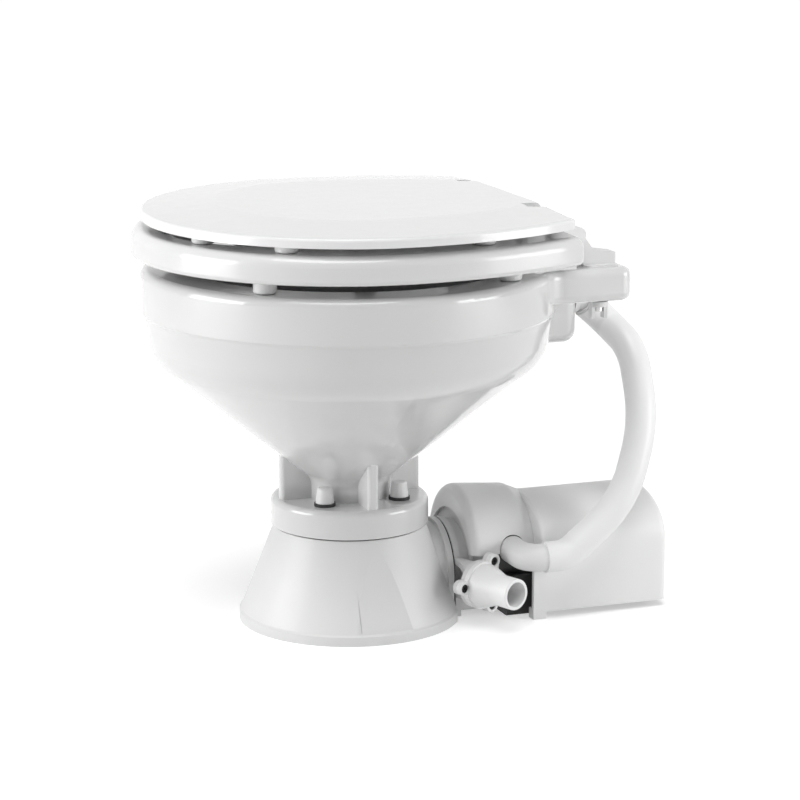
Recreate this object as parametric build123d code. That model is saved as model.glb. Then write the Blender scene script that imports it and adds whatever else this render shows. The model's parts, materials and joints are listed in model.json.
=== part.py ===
from build123d import *
from math import asin, atan2, cos, degrees, hypot, radians, sin, sqrt
import os

# Electric marine toilet, in millimetres. +Z is up, the front of the bowl is -Y and the pump lies
# behind the pedestal along +Y. The origin is the centre of the pedestal's foot, on the floor.

# Shared clearances and overruns
GAP = 0.3
SLIP = 0.06
OVER = 20.0
TINY_FILLET = 0.8

# Pedestal
FOOT_R = 95.0
SKIRT_H = 8.0
SKIRT_STEP = 1.5
PEDESTAL_H = 82.5
PEDESTAL_TOP_R = 65.0
PEDESTAL_WALL = 4.0
TOP_PLATE_T = 8.0
WELL_R = 31.0
WELL_WALL = 4.0
SUMP_FLOOR_Z = 6.0
SUMP_FLOOR_T = 4.0
DUCT_Z = 36.0
DUCT_R = 23.0
DUCT_WALL = 4.0
ARCH_R = 40.0
ARCH_WALL = 4.0
ARCH_END_Y = 80.0
ARCH_FLANGE_R = 43.0
ARCH_FLANGE_T = 5.0
ARCH_FOOT_Z = 1.5
FLAT_DEPTH = 3.4
FLAT_TOP_Z = 70.0
FLAT_LINE_Y = -20.5
FLAT_LINE_W = 0.9
FLAT_LINE_DEPTH = 1.0
FLAT_LINE_TOP_Z = 54.0
FLOOR_BOLT_PCD = 152.0
FLOOR_BOSS_R = 10.0
FLOOR_BOSS_H = 24.0
INSERT_R = 6.0
INSERT_H = 16.0
INSERT_BORE_R = 4.0

# Bowl
GASKET_T = 1.5
GASKET_INNER_R = 33.0
FLANGE_R = 67.5
FLANGE_H = 24.0
FLANGE_EDGE_R = 5.0
NECK_R = 36.0
NECK_FLARE_R = 13.0
OUTLET_R = 25.0
CONE_FOOT_R = 68.6
CONE_FOOT_Z = 151.5
CONE_TOP_R = 154.6
CONE_TOP_Z = 220.6
SHOULDER_R = 168.7
SHOULDER_Z = 243.3
SHOULDER_FILLET = 36.0
BAND_TOP_R = 172.8
BAND_TOP_Z = 268.0
BAND_STEP = 2.2
RIM_R = 174.2
RIM_TOP_Z = 307.0
RIM_EDGE_R = 7.0
RIM_INNER_R = 138.0
LIP_Z = 279.0
LIP_T = 6.0
CHANNEL_TOP_Z = 298.0
BOWL_WALL = 9.0
RIB_COUNT = 4
RIB_R = 62.5
RIB_W = 9.4
RIB_TOP_Z = 149.0
RIB_INNER_R = 28.0
RIB_EDGE_R = 3.4
DECK_HALF_W = 100.0
DECK_REAR_Y = 217.5
DECK_T = 28.5
DECK_EDGE_R = 7.0
DECK_CORNER_R = 10.0
DECK_NOTCH_R = 22.0
DECK_GUSSET_R = 10.0
DECK_GUSSET_HALF_W = 90.0
DECK_GUSSET_INSET = 4.0
DECK_GUSSET_TAIL = 22.0
LUG_HALF_W = 18.0
LUG_FRONT_Y = 142.0
LUG_REAR_Y = 204.0
LUG_BOTTOM_Z = 228.0
LUG_EDGE_R = 11.0
INLET_Z = 264.0
INLET_BORE_R = 9.8
INLET_BORE_DEPTH = 21.0
RISER_R = 6.5
RISER_TOP_Y = 157.0
RISER_TOP_Z = 291.0

# Bolts between bowl and pedestal
BOWL_BOLT_PCD = 94.0
BOWL_BOLT_R = 3.0
BOWL_BOLT_HOLE_R = 3.5
BOWL_WASHER_R = 9.0
BOWL_WASHER_T = 2.6
BOLT_HEAD_AF = 10.0
BOLT_HEAD_H = 4.0
BOLT_NUT_H = 5.0
BOLT_TAIL = 4.0
CAP_BASE_R = 7.9
CAP_TOP_R = 6.3
CAP_H = 13.0
CAP_EDGE_R = 2.0

# Seat and lid
SEAT_W = 355.0
SEAT_FRONT_Y = -182.0
SEAT_WIDEST_Y = -3.0
SEAT_REAR_Y = 157.0
SEAT_REAR_W = 272.0
SEAT_Z = 318.0
SEAT_T = 23.5
SEAT_TOP_EDGE_R = 9.0
SEAT_LOW_EDGE_R = 4.0
SEAT_CORNER_R = 9.0
SEAT_HOLE_W = 226.0
SEAT_HOLE_L = 262.0
SEAT_HOLE_Y = -24.0
SEAT_HOLE_EDGE_R = 8.0
LID_SIDE_PROUD = 0.5
LID_FRONT_SETBACK = 9.0
LID_WIDEST_SHIFT = 1.0
LID_REAR_SETBACK = 8.0
LID_REAR_SIDE_INSET = 1.0
LID_W = SEAT_W + 2 * LID_SIDE_PROUD
LID_FRONT_Y = SEAT_FRONT_Y + LID_FRONT_SETBACK
LID_WIDEST_Y = SEAT_WIDEST_Y - LID_WIDEST_SHIFT
LID_REAR_Y = SEAT_REAR_Y - LID_REAR_SETBACK
LID_REAR_W = SEAT_REAR_W - 2 * LID_REAR_SIDE_INSET
LID_Z = 348.0
LID_RIM_T = 8.0
LID_EDGE_R = 2.6
LID_CORNER_R = 7.0
LID_CROWN = 5.0
LID_BORDER_SHARE = 1.1
PLATEAU_INSET = 63.0
PLATEAU_REAR_INSET = 7.0
PLATEAU_REAR_W = 130.0
LID_HOLLOW_DEPTH = 4.6
LID_WALL = 6.0
BUFFER_R = 9.5
BUFFER_EDGE_R = 2.2
BUFFER_INSET = 16.5
SEAT_BUFFER_PCD = 313.0
SEAT_BUFFER_ANGLES = [-44.0, 38.0]
LID_BUFFER_ANGLES = [-67.0, -37.0, 27.0]

# Hinges
HINGE_X = 77.5
PIVOT_Y = 168.5
PIVOT_Z = 335.8
PIN_R = 3.0
PIN_CLEARANCE = 0.08
KNUCKLE_R = 6.5
LUG_T = 13.0
LUG_FOOT_R = 5.5
ARM_T = 12.0
SIDE_GAP = 0.35
PIN_COVER = 2.0
BORE_REACH = LUG_T / 2 + SIDE_GAP + ARM_T - PIN_COVER
BLOCK_FRONT_Y = 178.0
BLOCK_REAR_Y = 208.0
BLOCK_TOP_Z = 323.0
BLOCK_TOP_REAR_Z = 318.0
BLOCK_PAD_T = 1.5
BLOCK_PAD_HALF_W = 14.0
BLOCK_EDGE_R = 1.6
LID_ARM_ROOT_R = 3.2
LID_ARM_ROOT_DY = -4.0
LID_ARM_ROOT_DZ = 0.4
ARM_RELIEF = 1.0
SEAT_ARM_ROOT_DY = -7.0
SEAT_ARM_ROOT_DZ = 11.0
NOTCH_MARGIN = 1.0
NOTCH_REACH = 2.0
HINGE_BOLT_Y = 195.0
HINGE_BOLT_R = 4.0
HINGE_BOLT_HOLE_R = 4.6
HINGE_BOLT_TAIL = 11.0
HINGE_WASHER_R = 9.5
HINGE_WASHER_T = 2.0
HINGE_NUT_R = 7.2
HINGE_NUT_H = 5.0
WING_T = 3.2
WING_W = 7.0
WING_H = 15.0

# Water inlet and flushing hose
ELBOW_SPIGOT_R = 9.45
ELBOW_BORE_R = 7.0
COLLAR_R = 12.0
COLLAR_T = 4.0
INLET_BEND_R = 14.0
INLET_BEND_ANGLE = 42.0
INLET_LEG = 13.0
HOSE_R = 13.2
HOSE_BORE_R = 9.5
PUMP_ELBOW_X = 84.0
PUMP_ELBOW_BEND_R = 14.0
PUMP_ELBOW_R = 11.8
PUMP_ELBOW_LEG = 12.5
HOSE_VIA_SHARE = [
    (1.0, 0.28, 0.0),
    (1.015, 0.992, 0.213),
    (0.835, 1.332, 0.541),
    (0.469, 1.361, 0.829),
]
HOSE_END_RUN = 25.0
HOSE_BEND_SHARE = 0.45

# Macerator chamber at the pedestal's outlet
OUTLET_GASKET_T = 1.5
PUMP_Z = 50.0
CHAMBER_R = 46.0
CHAMBER_WALL = 5.0
CHAMBER_FRONT_Y = 95.2
CHAMBER_FACE_T = 3.2
CHAMBER_NECK_R = 40.0
CHAMBER_NECK_FOOT_Z = 5.75
CHAMBER_REAR_Y = 120.0
PORT_X = 68.4
PORT_Y = 94.2
PORT_Z = 36.0
PORT_YAW = 22.0
PORT_NECK_R = 17.0
PORT_BORE_R = 12.0
PORT_FLANGE_R = 20.5
PORT_FLANGE_T = 4.2
PORT_EAR_COUNT = 3
PORT_EAR_PCD = 44.6
PORT_EAR_R = 6.2
PORT_EAR_TURN = -3.0
PORT_SCREW_R = 2.0
PORT_SCREW_HEAD_R = 3.4
PORT_SCREW_HEAD_H = 1.8
PORT_RECESS_R = 3.8
PORT_RECESS_DEPTH = 2.4
PORT_SCREW_L = 6.0
PORT_SCREW_SOCKET_AF = 3.0
DOME_H = 20.0
DOME_RING_SHARE = [
    (0.0, 1.0),
    (0.3, 0.79),
    (0.7, 0.32),
    (1.0, 0.0),
]
SPIGOT_R = 13.4
SPIGOT_BORE_R = 10.6
SPIGOT_REACH = 43.0
SPIGOT_BEAD = 0.8
VALVE_FLANGE_T = 2.0
VALVE_L = 22.0
VALVE_LIP_W = 1.6

# Rotor
SHAFT_R = 4.0
SHAFT_FRONT_Y = 99.0
BLADE_Y = 102.2
BLADE_T = 3.0
BLADE_REACH = 32.0
BLADE_W = 9.0
BLADE_COUNT = 2
HUB_R = 8.0
WHEEL_R = 36.0
WHEEL_Y = 106.5
WHEEL_DISC_T = 3.0
VANE_COUNT = 5
VANE_H = 7.5
VANE_T = 3.0
VANE_SWEEP_R = 30.0
IMPELLER_R = 25.0
IMPELLER_HUB_R = 11.0
IMPELLER_BLADE_COUNT = 8
IMPELLER_BLADE_T = 3.2
IMPELLER_TIP_R = 2.6
CUTTER_PLATE_T = 3.0
CUTTER_SLOT_COUNT = 6
CUTTER_SLOT_R = 5.0
CUTTER_SLOT_PCD = 48.0

# Flushing pump behind the chamber
PLATE_T = 5.0
SEAL_R = 9.0
SEAL_T = 4.0
PUMP_BODY_Y = 120.0
PUMP_BODY_REAR_Y = 150.0
PUMP_CAVITY_R = 27.5
PUMP_CAVITY_WALL = 3.0
PUMP_FOOT_HALF_W = 52.0
PUMP_FOOT_H = 36.0
PUMP_FOOT_EDGE_R = 2.0
WEAR_PLATE_T = 1.0
PUMP_PORT_Y = 129.8
PUMP_PORT_Z = 59.0
PUMP_BOSS_R = 11.6
PUMP_BOSS_T = 5.0
PUMP_PORT_NECK_R = 7.5
PUMP_PORT_BORE_R = 6.0
SUPPLY_SPIGOT_R = 9.5
SUPPLY_REACH = 95.0
SUPPLY_FLANGE_T = 4.0
TIE_COUNT = 4
TIE_PCD = 87.0
TIE_R = 1.5
TIE_HEAD_R = 2.4
TIE_HEAD_H = 2.0
TIE_L = 44.0

# Motor
MOTOR_R = 40.0
MOTOR_WALL = 2.0
MOTOR_REAR_Y = 238.0
MOTOR_FACE_T = 4.0
END_CAP_T = 12.0
END_CAP_WALL = 3.0
MAGNET_R = 37.9
MAGNET_T = 6.5
MAGNET_ARC = 130.0
MAGNET_L = 58.0
ARMATURE_R = 30.0
ARMATURE_L = 52.0
ARMATURE_FRONT_Y = 163.0
ARMATURE_SLOTS = 12
ARMATURE_SLOT_R = 2.2
COMMUTATOR_R = 12.0
COMMUTATOR_L = 14.0
BRUSH_W = 7.0
BRUSH_L = 16.0
BRUSH_H = 9.0
BEARING_R = 11.0
BEARING_T = 6.0
BRACKET_HALF_W = 34.0
BRACKET_T = 3.0
BRACKET_FRONT_Y = 168.0
SADDLE_HALF_W = 24.0
SADDLE_T = 10.0
SADDLE_COUNT = 2
PAD_R = 8.0
PAD_H = 4.0
PAD_INSET = 10.0

# Motor and pump cover
COVER_HALF_W = 58.0
COVER_X = 12.0
COVER_FRONT_Y = 151.0
COVER_REAR_Y = 268.0
COVER_BOTTOM_Z = 6.0
COVER_SHOULDER_Z = 62.0
COVER_TOP_Z = 98.5
COVER_WALL = 3.0
COVER_REAR_EDGE_R = 7.0
COVER_FRONT_EDGE_R = 3.0
COVER_LIP_PROUD = 1.0
COVER_LIP_W = 12.0
COVER_LIP_FRONT_Y = 142.0
COVER_LIP_TOP_Z = 43.0
COVER_TOE_W = 9.0
COVER_GATE_Z = 54.0
BELL_FRONT_Y = 92.0
BELL_FRONT_R = 57.5
BELL_REAR_R = 53.5
BELL_TAIL_Y = 143.0
BELL_TAIL_R = 47.5
BELL_TAIL_ROUND_R = 9.0
BELL_WALL = 2.6
BELL_SKIRT_Z = 57.0
BELL_EDGE_R = 8.0
BELL_MOUTH_R = 52.5
BELL_MOUTH_Z = 34.0
HOSE_NOTCH_R = 12.5
COVER_SCREW_X = 24.0
COVER_SCREW_Z = 16.0
COVER_SCREW_R = 2.0
COVER_SCREW_HEAD_R = 4.2
COVER_SCREW_HEAD_H = 2.4
COVER_SCREW_L = 8.0
UPSTAND_TOP_Z = 25.0
UPSTAND_T = 3.0
GROMMET_R = 7.0
GROMMET_BORE_R = 3.0
GROMMET_T = 8.0
GROMMET_GROOVE = 1.4
GROMMET_X = -28.0
GROMMET_Z = 40.0

BOWL_FOOT_Z = PEDESTAL_H + GASKET_T
FLANGE_TOP_Z = BOWL_FOOT_Z + FLANGE_H
RIGHT_ANGLE = 90.0
HALF_TURN = 180.0
FULL_TURN = 360.0


def rise(section, z0, z1):
    """A section drawn in X and Y, standing from z0 to z1."""
    return extrude(Plane.XY.offset(z0) * section, amount=z1 - z0)


def along_y(section, y0, y1):
    """A section drawn in X and Z, running from y0 back to y1."""
    return extrude(Plane.XZ.offset(-y1) * section, amount=y1 - y0)


def along_x(section, x0, x1):
    """A section drawn in Y and Z, running from x0 to x1."""
    return extrude(Plane.YZ.offset(x0) * section, amount=x1 - x0)


def turned(points):
    """The solid that an outline of radius and height gives when it turns about the Z axis."""
    return revolve(make_face(Plane.XZ * Polyline(*points, close=True)), Axis.Z)


def spot(x, y):
    return Pos(x, y, 0)


def ring_spots(count, radius, first_angle=0.0):
    """Places evenly spaced on a circle, as pairs."""
    places = []
    for index in range(count):
        angle = radians(first_angle + index * FULL_TURN / count)
        places.append((radius * cos(angle), radius * sin(angle)))
    return places


def hexagon(across_flats):
    return RegularPolygon(across_flats / 2, 6, major_radius=False)


def box_between(x0, x1, y0, y1, z0, z1):
    section = spot((x0 + x1) / 2, (y0 + y1) / 2) * Rectangle(x1 - x0, y1 - y0)
    return rise(section, z0, z1)


def rod(start, end, radius):
    """A round bar between two points."""
    start = Vector(*start)
    end = Vector(*end)
    return extrude(Plane(origin=start, z_dir=end - start) * Circle(radius), amount=(end - start).length)


def seat_outline(width, front_y, widest_y, rear_y, rear_width, corner_r):
    """A half ellipse at the front, elliptical sides and a straight rear edge."""
    half = width / 2
    share = rear_width / width
    rear_b = (rear_y - widest_y) / sqrt(1 - share**2)
    corner_angle = degrees(asin((rear_y - widest_y) / rear_b))
    centre = (0, widest_y)
    front = EllipticalCenterArc(centre, half, widest_y - front_y, HALF_TURN, arc_size=HALF_TURN)
    right = EllipticalCenterArc(centre, half, rear_b, 0, arc_size=corner_angle)
    left = EllipticalCenterArc(centre, half, rear_b, HALF_TURN - corner_angle, arc_size=corner_angle)
    rear = Line(right @ 1, left @ 0)
    face = make_face(Curve() + [front, right, rear, left])
    rear_corners = face.vertices().sort_by(Axis.Y)[-2:]
    return fillet(rear_corners, corner_r)


def arch_section(radius, centre_z, foot_z):
    """A half circle on straight sides that stand on foot_z."""
    legs_h = centre_z - foot_z
    legs = Pos(0, foot_z + legs_h / 2) * Rectangle(2 * radius, legs_h)
    below = Pos(0, foot_z - radius) * Rectangle(4 * radius, 2 * radius)
    return legs + Pos(0, centre_z) * Circle(radius) - below


def cone_r(z):
    """The pedestal's outer radius at a height on its cone."""
    share = (z - SKIRT_H) / (PEDESTAL_H - SKIRT_H)
    return FOOT_R - SKIRT_STEP + share * (PEDESTAL_TOP_R - FOOT_R + SKIRT_STEP)


def floor_bolt_spots():
    return ring_spots(4, FLOOR_BOLT_PCD / 2, RIGHT_ANGLE / 2)


def bowl_bolt_spots():
    return ring_spots(4, BOWL_BOLT_PCD / 2, RIGHT_ANGLE / 2)


def make_pedestal():
    shoulder = FOOT_R - SKIRT_STEP
    outer = turned([(0, 0), (FOOT_R, 0), (FOOT_R, SKIRT_H), (shoulder, SKIRT_H + SKIRT_STEP),
                    (PEDESTAL_TOP_R, PEDESTAL_H), (0, PEDESTAL_H)])
    flat_foot = shoulder - FLAT_DEPTH
    flat_top = cone_r(FLAT_TOP_Z)
    lean = degrees(atan2(flat_foot - flat_top, FLAT_TOP_Z - SKIRT_H - SKIRT_STEP))
    slab = box_between(0, FOOT_R, -FOOT_R, FOOT_R, 0, PEDESTAL_H)
    slab = Pos(flat_foot, 0, SKIRT_H + SKIRT_STEP) * Rot(0, -lean, 0) * slab
    line_w = FLAT_LINE_W / 2
    line = box_between(-FLAT_LINE_DEPTH, FLAT_LINE_DEPTH, FLAT_LINE_Y - line_w, FLAT_LINE_Y + line_w,
                       FLAT_LINE_W, FLAT_LINE_TOP_Z - SKIRT_H)
    slab += Pos(flat_foot, 0, SKIRT_H + SKIRT_STEP) * Rot(0, -lean, 0) * line
    outer -= slab
    outer -= Rot(0, 0, HALF_TURN) * slab
    inner_foot = cone_r(SKIRT_H) - PEDESTAL_WALL
    roof_z = PEDESTAL_H - TOP_PLATE_T
    inner = turned([(0, -OVER), (inner_foot, -OVER), (inner_foot, SKIRT_H),
                    (cone_r(roof_z) - PEDESTAL_WALL, roof_z), (0, roof_z)])
    arch = along_y(arch_section(ARCH_R, DUCT_Z, 0), 0, ARCH_END_Y)
    arch_void = along_y(arch_section(ARCH_R - ARCH_WALL, DUCT_Z, -OVER), 0, ARCH_END_Y - ARCH_FLANGE_T)
    body = (outer + arch) - inner - arch_void
    flange = arch_section(ARCH_FLANGE_R, DUCT_Z, ARCH_FOOT_Z)
    body += along_y(flange, ARCH_END_Y - ARCH_FLANGE_T, ARCH_END_Y)
    for x, y in floor_bolt_spots():
        body += rise(spot(x, y) * Circle(FLOOR_BOSS_R), 0, FLOOR_BOSS_H)
    body -= box_between(-FOOT_R, FOOT_R, ARCH_END_Y, FOOT_R + OVER, -OVER, PEDESTAL_H + OVER)
    body -= rise(Circle(WELL_R), roof_z - OVER, PEDESTAL_H + OVER)
    body -= along_y(Pos(0, DUCT_Z) * Circle(DUCT_R + DUCT_WALL + SLIP), WELL_R, ARCH_END_Y + OVER)
    for x, y in floor_bolt_spots():
        body -= rise(spot(x, y) * Circle(INSERT_R), -OVER, INSERT_H)
    for x, y in bowl_bolt_spots():
        body -= rise(spot(x, y) * Circle(BOWL_BOLT_HOLE_R), roof_z - OVER, PEDESTAL_H + OVER)
    return body


def make_waste_sump():
    """The cup under the bowl's outlet and the duct that leads from it to the macerator."""
    body = rise(Circle(WELL_R + WELL_WALL), SUMP_FLOOR_Z, PEDESTAL_H - TOP_PLATE_T)
    body += along_y(Pos(0, DUCT_Z) * Circle(DUCT_R + DUCT_WALL), 0, ARCH_END_Y)
    body -= rise(Circle(WELL_R), SUMP_FLOOR_Z + SUMP_FLOOR_T, PEDESTAL_H)
    return body - along_y(Pos(0, DUCT_Z) * Circle(DUCT_R), 0, ARCH_END_Y + OVER)


def make_floor_inserts():
    inserts = []
    for x, y in floor_bolt_spots():
        sleeve = Circle(INSERT_R - SLIP) - Circle(INSERT_BORE_R)
        inserts.append(rise(spot(x, y) * sleeve, 0, INSERT_H))
    return inserts


def make_bowl_gasket():
    ring = Circle(PEDESTAL_TOP_R - SKIRT_STEP) - Circle(GASKET_INNER_R)
    for x, y in bowl_bolt_spots():
        ring -= spot(x, y) * Circle(BOWL_BOLT_HOLE_R)
    return rise(ring, PEDESTAL_H, BOWL_FOOT_Z)


def corner_of(p0, d0, p1, d1):
    """Where two sloping lines of radius and height cross; each slope is radius over height."""
    z = (p1[0] - p0[0] + d0 * p0[1] - d1 * p1[1]) / (d0 - d1)
    return (p0[0] + d0 * (z - p0[1]), z)


def bowl_slopes():
    cone = (CONE_TOP_R - CONE_FOOT_R) / (CONE_TOP_Z - CONE_FOOT_Z)
    band = (BAND_TOP_R - SHOULDER_R) / (BAND_TOP_Z - SHOULDER_Z)
    return cone, band


def bowl_outer():
    cone, band = bowl_slopes()
    neck = (NECK_R, CONE_FOOT_Z - (CONE_FOOT_R - NECK_R) / cone)
    shoulder = corner_of((CONE_TOP_R, CONE_TOP_Z), cone, (SHOULDER_R, SHOULDER_Z), band)
    line = FilletPolyline(
        (0, BOWL_FOOT_Z), (FLANGE_R, BOWL_FOOT_Z), (FLANGE_R, FLANGE_TOP_Z), (NECK_R, FLANGE_TOP_Z),
        neck, shoulder, (BAND_TOP_R, BAND_TOP_Z), (RIM_R, BAND_TOP_Z + BAND_STEP),
        (RIM_R, RIM_TOP_Z - DECK_T / 2), (0, RIM_TOP_Z - DECK_T / 2),
        radius=[TINY_FILLET, FLANGE_EDGE_R, TINY_FILLET / 2, NECK_FLARE_R, SHOULDER_FILLET,
                TINY_FILLET, TINY_FILLET, TINY_FILLET])
    outline = make_face(Curve() + [line, Line(line @ 1, line @ 0)])
    return revolve(Plane.XZ * outline, Axis.Z)


def bowl_inner():
    cone, band = bowl_slopes()
    cone_run = BOWL_WALL * hypot(1, cone)
    band_run = BOWL_WALL * hypot(1, band)
    wall_top = (BAND_TOP_R - band_run, BAND_TOP_Z)
    shoulder = corner_of((CONE_TOP_R - cone_run, CONE_TOP_Z), cone, wall_top, band)
    throat = (OUTLET_R, CONE_TOP_Z - (CONE_TOP_R - cone_run - OUTLET_R) / cone)
    lip_in = RIM_INNER_R + LIP_T
    line = FilletPolyline(
        (0, BOWL_FOOT_Z - OVER), (OUTLET_R, BOWL_FOOT_Z - OVER), throat, shoulder, wall_top,
        (wall_top[0], CHANNEL_TOP_Z), (lip_in, CHANNEL_TOP_Z), (lip_in, LIP_Z), (RIM_INNER_R, LIP_Z),
        (RIM_INNER_R, RIM_TOP_Z), (RIM_INNER_R - RIM_EDGE_R, RIM_TOP_Z + OVER), (0, RIM_TOP_Z + OVER),
        radius=[TINY_FILLET, NECK_FLARE_R, SHOULDER_FILLET - BOWL_WALL, TINY_FILLET, TINY_FILLET * 2,
                TINY_FILLET * 2, LIP_T / 3, LIP_T / 3, RIM_EDGE_R, TINY_FILLET])
    outline = make_face(Curve() + [line, Line(line @ 1, line @ 0)])
    return revolve(Plane.XZ * outline, Axis.Z)


def make_deck():
    """The rim's top and the flat deck behind it, as one rounded plate with a gusset at its root."""
    plate = spot(0, DECK_REAR_Y / 2) * Rectangle(2 * DECK_HALF_W, DECK_REAR_Y)
    plate = fillet(plate.vertices().group_by(Axis.Y)[-1], DECK_CORNER_R)
    outline = Circle(RIM_R) + plate
    notches = outline.vertices().filter_by(
        lambda vertex: abs(hypot(vertex.X, vertex.Y) - RIM_R) < TINY_FILLET)
    outline = fillet(notches, DECK_NOTCH_R)
    under_z = RIM_TOP_Z - DECK_T
    middle_z = RIM_TOP_Z - DECK_T / 2
    deck = rise(outline, under_z, RIM_TOP_Z)
    deck = fillet(deck.edges().group_by(Axis.Z)[-1], RIM_EDGE_R)
    deck = fillet(deck.edges().group_by(Axis.Z)[0], DECK_EDGE_R)
    hollow = CenterArc((RIM_R + DECK_GUSSET_R, under_z - DECK_GUSSET_R), DECK_GUSSET_R,
                       RIGHT_ANGLE, RIGHT_ANGLE)
    inner_r = RIM_R - DECK_GUSSET_INSET
    back = Polyline(hollow @ 1, (inner_r, under_z - DECK_GUSSET_TAIL), (inner_r, middle_z),
                    (RIM_R + DECK_GUSSET_R, middle_z), hollow @ 0)
    gusset = revolve(Plane.XZ * make_face(Curve() + [hollow, back]), Axis.Z)
    return deck + (gusset & box_between(-DECK_GUSSET_HALF_W, DECK_GUSSET_HALF_W, OVER, DECK_REAR_Y,
                                        0, RIM_TOP_Z))


def make_bowl():
    body = bowl_outer()
    rib = box_between(RIB_INNER_R, RIB_R, -RIB_W / 2, RIB_W / 2, FLANGE_TOP_Z - FLANGE_EDGE_R, RIB_TOP_Z)
    rib = fillet(rib.edges().filter_by(Axis.Z).sort_by(Axis.X)[-2:], RIB_EDGE_R)
    for index in range(RIB_COUNT):
        body += Rot(0, 0, index * FULL_TURN / RIB_COUNT) * rib
    deck = make_deck()
    lug_top_z = RIM_TOP_Z - DECK_EDGE_R
    lug = box_between(-LUG_HALF_W, LUG_HALF_W, LUG_FRONT_Y, LUG_REAR_Y, LUG_BOTTOM_Z, lug_top_z)
    lug = fillet(lug.edges().filter_by(Axis.Z) + lug.edges().group_by(Axis.Z)[0], LUG_EDGE_R)
    body += deck + lug
    body -= bowl_inner()
    bore_end_y = LUG_REAR_Y - INLET_BORE_DEPTH
    body -= along_y(Pos(0, INLET_Z) * Circle(INLET_BORE_R), bore_end_y, LUG_REAR_Y + OVER)
    body -= rod((0, bore_end_y, INLET_Z), (0, RISER_TOP_Y, RISER_TOP_Z), RISER_R)
    for x, y in bowl_bolt_spots():
        body -= rise(spot(x, y) * Circle(BOWL_BOLT_HOLE_R), BOWL_FOOT_Z - OVER, FLANGE_TOP_Z + OVER)
    for side in (-1, 1):
        hole = spot(side * HINGE_X, HINGE_BOLT_Y) * Circle(HINGE_BOLT_HOLE_R)
        body -= rise(hole, RIM_TOP_Z - DECK_T - OVER, RIM_TOP_Z + OVER)
    return body


def make_bowl_bolts():
    bolts = []
    head_z = FLANGE_TOP_Z + BOWL_WASHER_T
    tail_z = PEDESTAL_H - TOP_PLATE_T - BOLT_NUT_H - BOLT_TAIL
    for x, y in bowl_bolt_spots():
        shank = rise(spot(x, y) * Circle(BOWL_BOLT_R), tail_z, head_z)
        bolts.append(shank + rise(spot(x, y) * hexagon(BOLT_HEAD_AF), head_z, head_z + BOLT_HEAD_H))
    return bolts


def make_bowl_nuts():
    nuts = []
    top_z = PEDESTAL_H - TOP_PLATE_T
    for x, y in bowl_bolt_spots():
        section = hexagon(BOLT_HEAD_AF) - Circle(BOWL_BOLT_R + SLIP)
        nuts.append(rise(spot(x, y) * section, top_z - BOLT_NUT_H, top_z))
    return nuts


def make_bowl_washers():
    washers = []
    for x, y in bowl_bolt_spots():
        section = Circle(BOWL_WASHER_R) - Circle(BOWL_BOLT_R + SLIP)
        washers.append(rise(spot(x, y) * section, FLANGE_TOP_Z, FLANGE_TOP_Z + BOWL_WASHER_T))
    return washers


def make_bolt_caps():
    caps = []
    base_z = FLANGE_TOP_Z + BOWL_WASHER_T
    pocket_r = BOLT_HEAD_AF / 2 / cos(radians(RIGHT_ANGLE / 3)) + GAP
    for x, y in bowl_bolt_spots():
        cap = turned([(0, base_z), (CAP_BASE_R, base_z), (CAP_TOP_R, base_z + CAP_H), (0, base_z + CAP_H)])
        cap = fillet(cap.edges().group_by(Axis.Z)[-1], CAP_EDGE_R)
        cap -= rise(Circle(pocket_r), base_z - OVER, base_z + BOLT_HEAD_H + GAP)
        caps.append(spot(x, y) * cap)
    return caps


def seat_face():
    return seat_outline(SEAT_W, SEAT_FRONT_Y, SEAT_WIDEST_Y, SEAT_REAR_Y, SEAT_REAR_W, SEAT_CORNER_R)


def lid_face(inset=0.0):
    return seat_outline(LID_W - 2 * inset, LID_FRONT_Y + inset, LID_WIDEST_Y, LID_REAR_Y - inset,
                        LID_REAR_W - 2 * inset, LID_CORNER_R)


def lug_span(side):
    """The fixed hinge lug's inner and outer X on one side of the deck."""
    return sorted((side * (HINGE_X - LUG_T / 2), side * (HINGE_X + LUG_T / 2)))


def arm_span(side, outboard):
    """The X span of a moving arm beside the lug: the lid's arm is outboard, the seat's inboard."""
    away = 1 if outboard else -1
    near = side * (HINGE_X + away * (LUG_T / 2 + SIDE_GAP))
    far = side * (HINGE_X + away * (LUG_T / 2 + SIDE_GAP + ARM_T))
    return sorted((near, far))


def hinge_arm(span, root, root_r):
    """An arm from a seat or lid back to the pivot, with a blind running bore for the pin."""
    knuckle = Pos(PIVOT_Y, PIVOT_Z) * Circle(KNUCKLE_R)
    foot = Pos(root[0], root[1]) * Circle(root_r)
    arm = along_x(make_hull(knuckle.edges() + foot.edges()), span[0], span[1])
    bore = Pos(PIVOT_Y, PIVOT_Z) * Circle(PIN_R + PIN_CLEARANCE)
    for side in (-1, 1):
        arm -= along_x(bore, side * HINGE_X - BORE_REACH, side * HINGE_X + BORE_REACH)
    return arm


def make_seat():
    ring = rise(seat_face(), SEAT_Z, SEAT_Z + SEAT_T)
    ring = fillet(ring.edges().group_by(Axis.Z)[-1], SEAT_TOP_EDGE_R)
    ring = fillet(ring.edges().group_by(Axis.Z)[0], SEAT_LOW_EDGE_R)
    hole = spot(0, SEAT_HOLE_Y) * Ellipse(SEAT_HOLE_W / 2, SEAT_HOLE_L / 2)
    ring -= rise(hole, SEAT_Z - OVER, SEAT_Z + SEAT_T + OVER)
    hole_edges = ring.edges().filter_by(
        lambda edge: abs(edge.bounding_box().max.X - SEAT_HOLE_W / 2) < TINY_FILLET)
    ring = fillet(hole_edges, SEAT_HOLE_EDGE_R)
    root = (SEAT_REAR_Y + SEAT_ARM_ROOT_DY, SEAT_Z + SEAT_ARM_ROOT_DZ)
    for side in (-1, 1):
        ring += hinge_arm(arm_span(side, False), root, KNUCKLE_R)
    return ring


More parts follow.
